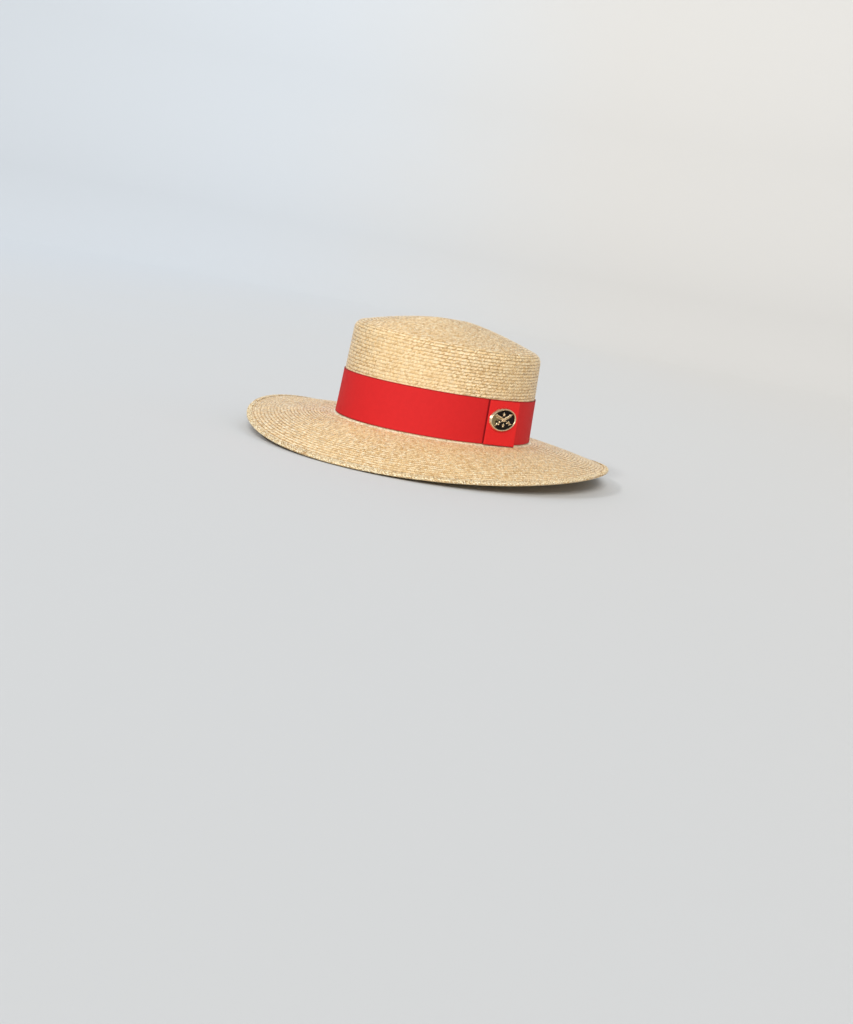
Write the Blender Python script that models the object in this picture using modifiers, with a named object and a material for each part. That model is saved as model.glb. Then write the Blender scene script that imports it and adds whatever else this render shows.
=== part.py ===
"""Straw boater hat with a red ribbon band, a ribbon loop and an oval metal badge.

Metres, +Z up, -Y the front of the hat, +X the wearer's left, where the loop and badge are.
The origin is under the middle of the head opening, on the surface that the brim's lowest
points rest on. Below, a turn is an angle round the hat, from +X towards +Y.
"""

import math

import bmesh
import bpy

# Head opening, inside the straw
HEAD_LENGTH = 0.1980
HEAD_WIDTH = 0.1636
STRAW = 0.0015

# Crown, its heights above the brim's inner edge. The tip is a dome of this power curve, and
# the corner is this much lower on the wearer's left and higher on the right.
CROWN_HEIGHT = 0.0850
CROWN_LEAN = 0.0039
CORNER_RADIUS = 0.0092
CORNER_ARC = math.radians(75.0)
TIP_DOME = 0.0154
TIP_CURVE = 1.5
CROWN_TILT = 0.0027

# Brim
BRIM_WIDTH = 0.0786
BRIM_DROP = 0.0158
BRIM_SADDLE = 0.0086
BRIM_CURVED_SHARE = 0.75
JUNCTION_RADIUS = 0.0020
COLLAR_HEIGHT = 0.0035

# How the rim's drop changes round the hat: waves in one round, depth as a share of
# BRIM_SADDLE, and the turn in degrees at which it is deepest
BRIM_WAVES = (
    {"waves": 1, "depth": 0.06, "deepest": 24.0},
    {"waves": 2, "depth": 1.00, "deepest": -66.0},
    {"waves": 3, "depth": 0.165, "deepest": -102.5},
    {"waves": 4, "depth": 0.05, "deepest": -21.0},
)

# Extra row of braid on top of the rim
EDGE_WIDTH = 0.0052
EDGE_THICKNESS = 0.0010

# Ribbon
RIBBON = 0.0010
BAND_FOOT = 0.0015
BAND_WIDTH = 0.0395
LOOP_TURN = math.radians(-4.8)
LOOP_WIDTH = 0.0385
LOOP_FOLD = 0.0022
LOOP_HANG = 0.0012

# Badge, placed from the middle of the loop
BADGE_WIDTH = 0.0320
BADGE_HEIGHT = 0.0210
BADGE_ALONG = -0.0016
BADGE_UP = 0.0030
BADGE_TILT = math.radians(5.0)
BADGE_RIM = 0.0013
BADGE_THICKNESS = 0.0020
BADGE_FIELD_DEPTH = 0.0009
BADGE_FIELD_CROWN = 0.0005

# Clear space between pieces that lie on each other
GAP = 0.0003

# How finely the meshes are cut
COLUMNS = 72
WALL_ROWS = 3
CORNER_ROWS = 5
TIP_ROWS = 6
BRIM_ROWS = 7
JUNCTION_ROWS = 3
BAND_ROWS = 3
EDGE_ROWS = 3
LOOP_COLUMNS = 8
LOOP_ROWS = 4
BADGE_COLUMNS = 28
WALK_STEPS = 16
SLOPE_STEP = 0.01
MERGE = 0.00001

# Half sizes of the straw's outer oval where the crown meets the brim
HALF_LENGTH = HEAD_LENGTH / 2 + STRAW
HALF_WIDTH = HEAD_WIDTH / 2 + STRAW

COLOURS = {
    "straw": ((0.78, 0.61, 0.36), 0.60, 0.0),
    "edge_straw": ((0.82, 0.67, 0.42), 0.55, 0.0),
    "ribbon": ((0.72, 0.022, 0.028), 0.72, 0.0),
    "badge_gold": ((0.83, 0.63, 0.33), 0.25, 1.0),
}


def material(name):
    """Return the named Principled material."""
    colour, roughness, metallic = COLOURS[name]
    found = bpy.data.materials.new(name)
    found.use_nodes = True
    shader = found.node_tree.nodes["Principled BSDF"]
    shader.inputs["Base Color"].default_value = (*colour, 1.0)
    shader.inputs["Roughness"].default_value = roughness
    shader.inputs["Metallic"].default_value = metallic
    found.diffuse_color = (*colour, 1.0)
    return found


def lean(height):
    """How far the crown's wall has leaned in at a height."""
    return CROWN_LEAN * max(height, 0.0) / CROWN_HEIGHT


def oval(turn, inset=0.0, out=0.0):
    """Point of the oval whose half sizes are less by inset, moved out along its normal."""
    long_half = HALF_LENGTH - inset
    short_half = HALF_WIDTH - inset
    across, along = math.cos(turn), math.sin(turn)
    normal_x, normal_y = long_half * across, short_half * along
    size = math.hypot(normal_x, normal_y) or 1.0
    return (short_half * across + out * normal_x / size,
            long_half * along + out * normal_y / size)


def walk(turn, distance):
    """Turn that lies a distance along the oval from the given turn."""
    step = distance / WALK_STEPS
    for _ in range(WALK_STEPS):
        turn += step / math.hypot(HALF_WIDTH * math.sin(turn), HALF_LENGTH * math.cos(turn))
    return turn


def rim_drop(turn):
    """How far the rim lies below the brim's inner edge at a turn."""
    wave = sum(row["depth"] * math.cos(row["waves"] * (turn - math.radians(row["deepest"])))
               for row in BRIM_WAVES)
    return BRIM_DROP + BRIM_SADDLE * wave


def wall_point(turn, height, lift):
    """Point on the crown's wall, lifted off the straw."""
    x, y = oval(turn, lean(height), lift)
    return x, y, height


def brim_point(turn, share):
    """Point on the brim's upper face, from its inner edge, share 0, to the rim, share 1."""
    x, y = oval(turn, 0.0, JUNCTION_RADIUS + (BRIM_WIDTH - JUNCTION_RADIUS) * share)
    curve = (1 - BRIM_CURVED_SHARE) * share + BRIM_CURVED_SHARE * share * share
    return x, y, -rim_drop(turn) * curve


def brim_lift(turn, share, lift):
    """Point above the brim's upper face, along the slope's normal in the outward plane."""
    low = brim_point(turn, share - SLOPE_STEP)
    high = brim_point(turn, share + SLOPE_STEP)
    run = math.hypot(high[0] - low[0], high[1] - low[1])
    fall = low[2] - high[2]
    size = math.hypot(run, fall)
    x, y, z = brim_point(turn, share)
    ahead_x, ahead_y = (high[0] - low[0]) / run, (high[1] - low[1]) / run
    return (x + ahead_x * lift * fall / size, y + ahead_y * lift * fall / size,
            z + lift * run / size)


def crown_rows():
    """Rings of the crown's outer face, foot to tip: inset and height.

    The inset goes on to half the width, where the tip closes on a short middle line, as the
    rows of an oval tip do.
    """
    foot = COLLAR_HEIGHT + GAP
    shoulder = CROWN_HEIGHT - CORNER_RADIUS
    rows = []
    for index in range(WALL_ROWS):
        height = foot + (shoulder - foot) * index / WALL_ROWS
        rows.append((lean(height), height))
    for index in range(CORNER_ROWS + 1):
        angle = CORNER_ARC * index / CORNER_ROWS
        rows.append((lean(shoulder) + CORNER_RADIUS * (1 - math.cos(angle)),
                     shoulder + CORNER_RADIUS * math.sin(angle)))
    tip_inset, tip_foot = rows[-1]
    for index in range(1, TIP_ROWS + 1):
        share = 1 - index / TIP_ROWS
        inset = HALF_WIDTH - (HALF_WIDTH - tip_inset) * share
        rows.append((inset, tip_foot + TIP_DOME * (1 - share ** TIP_CURVE)))
    return rows


def crown_tilt(x, height):
    """How much lower the crown is for its tilt, which begins above the ribbon."""
    ribbon_top = BAND_FOOT + BAND_WIDTH
    share = (height - ribbon_top) / (CROWN_HEIGHT - CORNER_RADIUS - ribbon_top)
    return CROWN_TILT * x / HALF_WIDTH * min(max(share, 0.0), 1.0)


def brim_rows():
    """Places on the brim's upper face, rim to collar top, as functions of the turn."""
    rows = [lambda turn, share=1 - index / BRIM_ROWS: brim_point(turn, share)
            for index in range(BRIM_ROWS + 1)]
    for index in range(1, JUNCTION_ROWS + 1):
        angle = math.pi / 2 * index / JUNCTION_ROWS
        out = JUNCTION_RADIUS * (1 - math.sin(angle))
        height = JUNCTION_RADIUS * (1 - math.cos(angle))
        rows.append(lambda turn, out=out, height=height: wall_point(turn, height, out))
    rows.append(lambda turn: wall_point(turn, COLLAR_HEIGHT, 0.0))
    return rows


def mapped_mesh(name, columns, rows, place, closed_round):
    """Mesh of a grid whose vertices are put where place(column, row) says.

    A grid's faces look along columns x rows. A closed round has its first and last
    columns on each other, and points of a row that meet are joined.
    """
    bm = bmesh.new()
    made = bmesh.ops.create_grid(bm, x_segments=columns, y_segments=rows, size=1.0)
    for vert in made["verts"]:
        column = round((vert.co.x + 1) / 2 * columns)
        row = round((vert.co.y + 1) / 2 * rows)
        if closed_round:
            column %= columns
        vert.co = place(column, row)
    bmesh.ops.remove_doubles(bm, verts=bm.verts, dist=MERGE)
    mesh = bpy.data.meshes.new(name)
    bm.to_mesh(mesh)
    bm.free()
    return mesh


def add_piece(name, mesh, finish, collection, thickness=None):
    """Object for a mesh, with a Solidify wall inward from its faces where one is given."""
    piece = bpy.data.objects.new(name, mesh)
    collection.objects.link(piece)
    mesh.materials.append(finish)
    mesh.shade_smooth()
    mesh.set_sharp_from_angle(angle=math.radians(40.0))
    if thickness:
        wall = piece.modifiers.new("Wall", "SOLIDIFY")
        wall.thickness = thickness
        wall.offset = -1.0
        wall.use_even_offset = True
        wall.use_rim = True
    return piece


def column_turn(column):
    """Turn of a column of a piece that goes all the way round."""
    return math.tau * column / COLUMNS


def straw_crown(collection, finish):
    """Crown: wall and tip as one open shell of straw."""
    sections = crown_rows()

    def place(column, row):
        inset, height = sections[row]
        x, y = oval(column_turn(column), inset)
        return x, y, height - crown_tilt(x, height)

    mesh = mapped_mesh("straw_crown", COLUMNS, len(sections) - 1, place, True)
    return add_piece("straw_crown", mesh, finish, collection, STRAW)


def straw_brim(collection, finish):
    """Brim with its junction curve and the collar that the crown stands on."""
    sections = brim_rows()

    def place(column, row):
        return sections[row](column_turn(column))

    mesh = mapped_mesh("straw_brim", COLUMNS, len(sections) - 1, place, True)
    return add_piece("straw_brim", mesh, finish, collection, STRAW)


def brim_edge_braid(collection, finish):
    """Extra row of braid that lies on the brim along its rim."""
    inner_share = 1 - EDGE_WIDTH / (BRIM_WIDTH - JUNCTION_RADIUS)

    def place(column, row):
        share = 1 - (1 - inner_share) * row / EDGE_ROWS
        return brim_lift(column_turn(column), share, GAP + EDGE_THICKNESS)

    mesh = mapped_mesh("brim_edge_braid", COLUMNS, EDGE_ROWS, place, True)
    return add_piece("brim_edge_braid", mesh, finish, collection, EDGE_THICKNESS)


def ribbon_band(collection, finish):
    """Ribbon round the foot of the crown."""

    def place(column, row):
        height = BAND_FOOT + BAND_WIDTH * row / BAND_ROWS
        return wall_point(column_turn(column), height, GAP + RIBBON)

    mesh = mapped_mesh("ribbon_band", COLUMNS, BAND_ROWS, place, True)
    return add_piece("ribbon_band", mesh, finish, collection, RIBBON)


def loop_lift(along):
    """Height of the loop's face off the straw, at a distance along it from its middle."""
    share = along / LOOP_WIDTH + 0.5
    return 2 * (GAP + RIBBON) + (LOOP_FOLD - RIBBON) * share


def ribbon_loop(collection, finish):
    """Upright loop over the band's join, thicker on the side where it is folded."""
    def spot(column, row, lift):
        share = column / LOOP_COLUMNS
        along = LOOP_WIDTH * (share - 0.5)
        foot = BAND_FOOT - LOOP_HANG * share
        height = foot + (BAND_FOOT + BAND_WIDTH - foot) * row / LOOP_ROWS
        return wall_point(walk(LOOP_TURN, along), height, lift(along))

    def front(column, row):
        return spot(column, row, loop_lift)

    def back(column, row):
        return spot(LOOP_COLUMNS - column, row, lambda along: 2 * GAP + RIBBON)

    bm = bmesh.new()
    for face in (front, back):
        mesh = mapped_mesh("ribbon_loop_face", LOOP_COLUMNS, LOOP_ROWS, face, False)
        bm.from_mesh(mesh)
        bpy.data.meshes.remove(mesh)
    edges = [edge for edge in bm.edges if edge.is_boundary]
    bmesh.ops.bridge_loops(bm, edges=edges)
    mesh = bpy.data.meshes.new("ribbon_loop")
    bm.to_mesh(mesh)
    bm.free()
    return add_piece("ribbon_loop", mesh, finish, collection)


def badge_rows():
    """Section of the badge from the middle of its back to the middle of its field.

    Each row is a radius as a share of the badge's half size less a distance, and a lift.
    """
    crest = BADGE_THICKNESS
    field = BADGE_THICKNESS - BADGE_FIELD_DEPTH
    return (
        (0.0, 0.0, 0.0),
        (0.5, 0.0, 0.0),
        (1.0, BADGE_RIM * 0.3, 0.0),
        (1.0, 0.0, crest * 0.35),
        (1.0, 0.0, crest * 0.75),
        (1.0, BADGE_RIM * 0.35, crest),
        (1.0, BADGE_RIM * 0.75, crest),
        (1.0, BADGE_RIM, field),
        (0.55, 0.0, field + BADGE_FIELD_CROWN * 0.7),
        (0.0, 0.0, field + BADGE_FIELD_CROWN),
    )


def metal_badge(collection, finish):
    """Oval badge with a raised rim, which follows the loop's face."""
    sections = badge_rows()
    middle = BAND_FOOT + BAND_WIDTH / 2 + BADGE_UP

    def place(column, row):
        share, less, lift = sections[row]
        angle = math.tau * column / BADGE_COLUMNS
        right = (BADGE_WIDTH / 2 * share - less) * math.cos(angle)
        up = (BADGE_HEIGHT / 2 * share - less) * math.sin(angle)
        along = BADGE_ALONG + right * math.cos(BADGE_TILT) - up * math.sin(BADGE_TILT)
        height = middle + right * math.sin(BADGE_TILT) + up * math.cos(BADGE_TILT)
        return wall_point(walk(LOOP_TURN, along), height, loop_lift(along) + GAP + lift)

    mesh = mapped_mesh("metal_badge", BADGE_COLUMNS, len(sections) - 1, place, True)
    bm = bmesh.new()
    bm.from_mesh(mesh)
    bmesh.ops.recalc_face_normals(bm, faces=bm.faces)
    bm.to_mesh(mesh)
    bm.free()
    return add_piece("metal_badge", mesh, finish, collection)


def lowest(piece):
    """Height of the lowest point of a piece, with its modifiers."""
    graph = bpy.context.evaluated_depsgraph_get()
    shown = piece.evaluated_get(graph)
    height = min(vert.co.z for vert in shown.to_mesh().vertices)
    shown.to_mesh_clear()
    return height


def main():
    """Build the hat and stand it on its lowest points."""
    for old in list(bpy.data.objects):
        bpy.data.objects.remove(old, do_unlink=True)
    collection = bpy.data.collections.new("straw_boater_hat")
    bpy.context.scene.collection.children.link(collection)

    straw = material("straw")
    edge_straw = material("edge_straw")
    ribbon = material("ribbon")
    brim = straw_brim(collection, straw)
    pieces = [
        brim,
        straw_crown(collection, straw),
        brim_edge_braid(collection, edge_straw),
        ribbon_band(collection, ribbon),
        ribbon_loop(collection, ribbon),
        metal_badge(collection, material("badge_gold")),
    ]
    bpy.context.view_layer.update()
    rise = -lowest(brim)
    for piece in pieces:
        piece.location.z = rise


main()
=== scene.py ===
"""Looks of a straw boater hat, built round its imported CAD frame.

Metres, +Z up, -Y the front of the hat, +X the wearer's left. A turn is an angle round the hat,
from +X towards +Y. A reach is a distance down the straw from the middle of the crown's tip,
over the corner and the wall, and out along the brim to the rim. A lift is a distance off the
straw's outer face.
"""

import logging
import math
from abc import ABC, abstractmethod
from collections.abc import Callable, Sequence
from dataclasses import dataclass, field
from enum import Enum
from functools import cache

import bmesh
import bpy
import numpy as np
from mathutils import Matrix, Vector

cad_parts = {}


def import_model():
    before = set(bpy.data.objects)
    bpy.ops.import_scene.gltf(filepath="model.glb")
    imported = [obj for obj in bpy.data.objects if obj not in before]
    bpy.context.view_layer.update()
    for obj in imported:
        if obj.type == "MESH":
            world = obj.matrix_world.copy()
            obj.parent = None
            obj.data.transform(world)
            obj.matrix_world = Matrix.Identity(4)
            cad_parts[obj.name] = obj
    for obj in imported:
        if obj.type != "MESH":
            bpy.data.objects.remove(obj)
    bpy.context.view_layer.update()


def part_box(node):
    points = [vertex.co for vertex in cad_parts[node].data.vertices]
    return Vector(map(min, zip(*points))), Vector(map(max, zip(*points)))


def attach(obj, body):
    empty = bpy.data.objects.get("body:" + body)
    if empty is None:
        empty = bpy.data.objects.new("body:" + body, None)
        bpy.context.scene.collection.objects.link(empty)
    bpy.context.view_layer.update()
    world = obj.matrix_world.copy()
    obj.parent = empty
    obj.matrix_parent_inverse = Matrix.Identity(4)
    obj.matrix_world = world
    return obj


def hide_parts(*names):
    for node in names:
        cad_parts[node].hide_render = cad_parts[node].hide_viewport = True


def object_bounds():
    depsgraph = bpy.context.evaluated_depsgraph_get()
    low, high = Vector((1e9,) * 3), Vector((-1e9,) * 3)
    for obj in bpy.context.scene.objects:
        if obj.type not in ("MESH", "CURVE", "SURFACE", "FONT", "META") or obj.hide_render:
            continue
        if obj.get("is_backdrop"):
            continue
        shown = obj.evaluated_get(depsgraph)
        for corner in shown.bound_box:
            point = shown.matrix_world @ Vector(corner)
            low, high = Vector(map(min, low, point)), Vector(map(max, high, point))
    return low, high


LOG = logging.getLogger("straw_boater_hat")
BODY = "root"
UV_NAME = "run_and_width"
# Mask of painted shade beside edges: in the straw's groove inside the edge plait, and on the
# ribbon beside and along the loop's left edge.
EDGE_SHADE = "dark_edge_and_shade"
# Mask of a painted highlight where the straw turns up under the ribbon.
PAINTED_HIGHLIGHT = "pale"
PATINA = "patina"
FLOAT = "NodeSocketFloat"
VECTOR = "NodeSocketVector"

Colour = tuple[float, float, float, float]
Span = tuple[float, float]
Value = bpy.types.NodeSocket | float | Sequence[float]

FULL: Span = (0.0, 1.0)
FALLING: Span = (1.0, 0.0)

# Merging distance, least divisor, and the distances at which slopes and directions are read.
MERGE = 0.000001
TINY = 1e-9
SLOPE_REACH = 0.0006
PROBE = 0.001

# How many points each stretch of the straw's section has, and a line round the hat.
TIP_POINTS = 60
CORNER_POINTS = 24
WALL_POINTS = 24
JUNCTION_POINTS = 10
BRIM_POINTS = 60
STEPS_A_TURN = 360
ROUND_POINTS = 4 * STEPS_A_TURN + 1
LADDER_POINTS = 2 * STEPS_A_TURN + 1


class Slot(Enum):
    """Names of material slots."""

    STRAW = "straw"
    EDGE_STRAW = "edge_straw"
    RIBBON = "ribbon"
    BADGE_GOLD = "badge_gold"


class StrawPart(Enum):
    """The two pieces that the straw spiral is cut into, by the CAD node each stands for."""

    CROWN = "straw_crown"
    BRIM = "straw_brim"


# Shape of the hat


@dataclass(frozen=True)
class HatShape:
    """Sizes of the straw's outer face, as in the CAD frame.

    Each row of brim_waves is one wave of the rim's drop: waves in a round, depth as a share
    of brim_saddle, and the turn in degrees at which it is deepest.
    """

    half_length: float = 0.1005
    half_width: float = 0.0833
    straw: float = 0.0015
    crown_height: float = 0.0850
    crown_lean: float = 0.0039
    corner_radius: float = 0.0092
    corner_arc: float = math.radians(75.0)
    tip_dome: float = 0.0154
    tip_curve: float = 1.5
    crown_tilt: float = 0.0027
    brim_width: float = 0.0786
    brim_drop: float = 0.0158
    brim_saddle: float = 0.0086
    brim_curved_share: float = 0.75
    junction_radius: float = 0.0020
    collar_height: float = 0.0035
    ribbon_foot: float = 0.0015
    ribbon_width: float = 0.0395
    gap: float = 0.0003
    brim_waves: tuple[tuple[float, float, float], ...] = (
        (1, 0.06, 24.0), (2, 1.00, -66.0), (3, 0.165, -102.5), (4, 0.05, -21.0))


class StrawSurface:
    """The straw's outer face as a function of turn and reach."""

    def __init__(self, shape: HatShape, rise: float) -> None:
        """Tabulate the section from the tip's middle to the rim.

        Args:
            shape: Sizes of the hat.
            rise: Height of the brim's inner edge above what the hat rests on.
        """
        self.shape = shape
        self.rise = rise
        rows = np.array(self._section_rows())
        steps = np.hypot(np.diff(rows[:, 1] - rows[:, 0]),
                         np.diff(rows[:, 2] - shape.brim_drop * rows[:, 3]))
        self._reach = np.concatenate(([0.0], np.cumsum(steps)))
        self._inset, self._out, self._height, self._fall = rows.T
        self.rim_reach = float(self._reach[-1])

    def _section_rows(self) -> list[tuple[float, float, float, float]]:
        """Work out the section from the tip to the rim.

        Returns:
            Rows of inset, out, height and share of the rim's drop.
        """
        s = self.shape
        shoulder = s.crown_height - s.corner_radius
        tip_inset = self.lean(shoulder) + s.corner_radius * (1 - math.cos(s.corner_arc))
        tip_foot = shoulder + s.corner_radius * math.sin(s.corner_arc)
        rows = [(s.half_width - (s.half_width - tip_inset) * t, 0.0,
                 tip_foot + s.tip_dome * (1 - t ** s.tip_curve), 0.0)
                for t in np.linspace(0, 1, TIP_POINTS)]
        for angle in np.linspace(s.corner_arc, 0, CORNER_POINTS)[1:]:
            rows.append((self.lean(shoulder) + s.corner_radius * (1 - math.cos(angle)), 0.0,
                         shoulder + s.corner_radius * math.sin(angle), 0.0))
        for height in np.linspace(shoulder, s.junction_radius, WALL_POINTS)[1:]:
            rows.append((self.lean(height), 0.0, height, 0.0))
        for angle in np.linspace(math.pi / 2, 0, JUNCTION_POINTS)[1:]:
            height = s.junction_radius * (1 - math.cos(angle))
            out = s.junction_radius * (1 - math.sin(angle))
            rows.append((self.lean(height), out, height, 0.0))
        for t in np.linspace(0, 1, BRIM_POINTS)[1:]:
            rows.append((0.0, s.junction_radius + (s.brim_width - s.junction_radius) * t, 0.0,
                         (1 - s.brim_curved_share) * t + s.brim_curved_share * t * t))
        return rows

    def lean(self, height: float | np.ndarray) -> float | np.ndarray:
        """How far the crown's wall has leaned in at a height."""
        return self.shape.crown_lean * np.maximum(height, 0.0) / self.shape.crown_height

    def tilt(self, x: np.ndarray, height: np.ndarray) -> np.ndarray:
        """How much lower the crown is for its tilt, which begins above the ribbon.

        Args:
            x: How far to the wearer's left.
            height: Height above the brim's inner edge.

        Returns:
            The fall, less than 0 on the wearer's right.
        """
        s = self.shape
        low = s.ribbon_foot + s.ribbon_width
        share = (height - low) / (s.crown_height - s.corner_radius - low)
        return s.crown_tilt * x / s.half_width * np.clip(share, 0.0, 1.0)

    def reach_at_height(self, height: float) -> float:
        """Reach of the place on the wall that is at a height above the brim."""
        wall = self._fall == 0
        return float(np.interp(-height, -self._height[wall], self._reach[wall]))

    def rim_drop(self, turn: np.ndarray) -> np.ndarray:
        """How far the rim lies below the brim's inner edge.

        Args:
            turn: Angles round the hat.

        Returns:
            The drop at each turn.
        """
        s = self.shape
        wave = sum(depth * np.cos(waves * (turn - math.radians(deepest)))
                   for waves, depth, deepest in s.brim_waves)
        return s.brim_drop + s.brim_saddle * wave

    def oval(self, turn: np.ndarray, inset: np.ndarray, out: np.ndarray,
             ) -> tuple[np.ndarray, np.ndarray, np.ndarray, np.ndarray]:
        """Oval whose half sizes are less by inset, moved out along its normal.

        Args:
            turn: Angles round the hat.
            inset: How much less the half sizes are.
            out: Distance out along the oval's normal.

        Returns:
            x and y of the points, and x and y of the oval's outward normal.
        """
        long_half = self.shape.half_length - inset
        short_half = self.shape.half_width - inset
        across, along = np.cos(turn), np.sin(turn)
        normal_x, normal_y = long_half * across, short_half * along
        size = np.maximum(np.hypot(normal_x, normal_y), TINY)
        normal_x, normal_y = normal_x / size, normal_y / size
        return (short_half * across + out * normal_x, long_half * along + out * normal_y,
                normal_x, normal_y)

    def spots(self, turn: np.ndarray, reach: np.ndarray, lift: np.ndarray) -> np.ndarray:
        """Points off the straw's outer face.

        Args:
            turn: Angles round the hat.
            reach: Distances down the straw, which broadcast with turn.
            lift: Distances off the face, which broadcast with turn.

        Returns:
            Points, one row of three numbers each.
        """
        turn, reach, lift = np.broadcast_arrays(turn, reach, lift)
        inset, out, height, fall = (np.interp(reach, self._reach, table) for table in (
            self._inset, self._out, self._height, self._fall))
        ahead, behind = reach + SLOPE_REACH, reach - SLOPE_REACH
        run = (np.interp(ahead, self._reach, self._out - self._inset)
               - np.interp(behind, self._reach, self._out - self._inset))
        drop = self.rim_drop(turn)
        climb = (np.interp(ahead, self._reach, self._height)
                 - np.interp(behind, self._reach, self._height)
                 - drop * (np.interp(ahead, self._reach, self._fall)
                           - np.interp(behind, self._reach, self._fall)))
        size = np.maximum(np.hypot(run, climb), TINY)
        x, y, normal_x, normal_y = self.oval(turn, inset, out)
        side = -climb / size * lift
        level = self.rise + height - self.tilt(x, height) - drop * fall
        return np.stack((x + normal_x * side, y + normal_y * side,
                         level + run / size * lift), -1)

    def wall_spots(self, turn: np.ndarray, height: np.ndarray, lift: np.ndarray) -> np.ndarray:
        """Points off the crown's wall at heights above the brim's inner edge.

        Args:
            turn: Angles round the hat.
            height: Heights, which broadcast with turn.
            lift: Distances off the straw, which broadcast with turn.

        Returns:
            Points, one row of three numbers each.
        """
        turn, height, lift = np.broadcast_arrays(turn, height, lift)
        x, y, _, _ = self.oval(turn, self.lean(height), lift)
        return np.stack((x, y, self.rise + height), -1)

    def walk(self, turn: float, distance: np.ndarray, steps: int = 16) -> np.ndarray:
        """Turns that lie distances along the foot of the wall from one turn.

        Args:
            turn: Where the walk starts.
            distance: Distances to go, negative ones the other way.
            steps: How many parts the walk is worked out in.

        Returns:
            The turns.
        """
        at = np.full(np.shape(distance), float(turn))
        for _ in range(steps):
            at = at + np.asarray(distance) / steps / np.hypot(
                self.shape.half_width * np.sin(at), self.shape.half_length * np.cos(at))
        return at


# Mesh tools


def run_along(points: np.ndarray) -> np.ndarray:
    """Length run at each point of a line, from its first."""
    steps = np.linalg.norm(np.diff(points, axis=0), axis=1)
    return np.concatenate(([0.0], np.cumsum(steps)))


def even_steps(points: np.ndarray, values: np.ndarray, count: int,
               ) -> tuple[np.ndarray, np.ndarray]:
    """Values at even steps along a line of points.

    Args:
        points: Points of the line, close together.
        values: One value for each point, such as its turn.
        count: How many steps.

    Returns:
        The values where the steps meet, and the length run there.
    """
    run = run_along(points)
    lengths = np.linspace(0.0, run[-1], count + 1)
    return np.interp(lengths, run, values), lengths


def soft_noise(rng: np.random.Generator, places: np.ndarray, wave: float) -> np.ndarray:
    """Smooth random values from -1 to 1.

    Args:
        rng: Seeded source of random numbers.
        places: Where along a line the values are wanted.
        wave: Distance between two random knots.

    Returns:
        One value for each place.
    """
    knots = rng.uniform(-1.0, 1.0, int(np.max(places) / wave) + 3)
    at = places / wave
    low = np.floor(at).astype(int)
    share = at - low
    share = share * share * (3 - 2 * share)
    return knots[low] * (1 - share) + knots[low + 1] * share


def ring_noise(rng: np.random.Generator, places: np.ndarray, wave: float) -> np.ndarray:
    """Smooth random values round a ring, about -1 to 1, which end as they began.

    Args:
        rng: Seeded source of random numbers.
        places: Where along the ring the values are wanted, from 0 to its length.
        wave: Distance between two random knots.

    Returns:
        One value for each place.
    """
    values = soft_noise(rng, places, wave)
    return values + (values[0] - values[-1]) * places / places[-1]


def points_of(mesh: bpy.types.Mesh) -> np.ndarray:
    """Read the points of a mesh.

    Args:
        mesh: The mesh.

    Returns:
        Its points, one row of three numbers each.
    """
    flat = np.empty(len(mesh.vertices) * 3)
    mesh.vertices.foreach_get("co", flat)
    return flat.reshape(-1, 3)


def grid_bmesh(points: np.ndarray, run: np.ndarray, width: np.ndarray) -> bmesh.types.BMesh:
    """Sheet of quads made from a grid and put on an array of points.

    Args:
        points: Columns x rows x 3 array of places.
        run: Run along the piece at each column, which its map keeps.
        width: Place across the piece of each row, which its map keeps.

    Returns:
        The sheet, with its doubled border points merged.
    """
    columns, rows = points.shape[0] - 1, points.shape[1] - 1
    bm = bmesh.new()
    bmesh.ops.create_grid(bm, x_segments=columns, y_segments=rows, size=1.0)
    mesh = bpy.data.meshes.new("sheet")
    bm.to_mesh(mesh)
    flat = points_of(mesh)
    column = np.rint((flat[:, 0] + 1) / 2 * columns).astype(int)
    row = np.rint((flat[:, 1] + 1) / 2 * rows).astype(int)
    mesh.vertices.foreach_set("co", points[column, row].ravel())
    used = np.empty(len(mesh.loops), dtype=np.int32)
    mesh.loops.foreach_get("vertex_index", used)
    layer = mesh.uv_layers.new(name=UV_NAME)
    layer.data.foreach_set("uv", np.stack((run[column[used]], width[row[used]]), -1).ravel())
    bm.clear()
    bm.from_mesh(mesh)
    bpy.data.meshes.remove(mesh)
    border = [vert for vert in bm.verts if vert.is_boundary]
    bmesh.ops.remove_doubles(bm, verts=border, dist=MERGE)
    return bm


def face_outward(bm: bmesh.types.BMesh) -> None:
    """Close the holes of a solid and turn its faces outward.

    Args:
        bm: The solid.
    """
    open_edges = [edge for edge in bm.edges if edge.is_boundary]
    if open_edges:
        bmesh.ops.holes_fill(bm, edges=open_edges, sides=0)
    bmesh.ops.recalc_face_normals(bm, faces=bm.faces)
    if bm.calc_volume(signed=True) < 0:
        bmesh.ops.reverse_faces(bm, faces=bm.faces)


def paint(piece: bpy.types.Object, name: str,
          value: Callable[[np.ndarray], np.ndarray]) -> None:
    """Store a value from 0 to 1 at each point of a piece.

    Args:
        piece: The piece.
        name: What materials read the value by.
        value: Turns an array of points into one of values.
    """
    values = value(points_of(piece.data))
    stored = piece.data.attributes.new(name, "FLOAT", "POINT")
    stored.data.foreach_set("value", values.astype(np.float32))


def move_points(bm: bmesh.types.BMesh, place: Callable[[np.ndarray], np.ndarray]) -> None:
    """Put each point of a flat shape where it belongs on the hat.

    Args:
        bm: The flat shape.
        place: Turns an array of flat points into one of places on the hat.
    """
    flat = np.array([vert.co for vert in bm.verts])
    for vert, spot in zip(bm.verts, place(flat)):
        vert.co = spot


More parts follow.
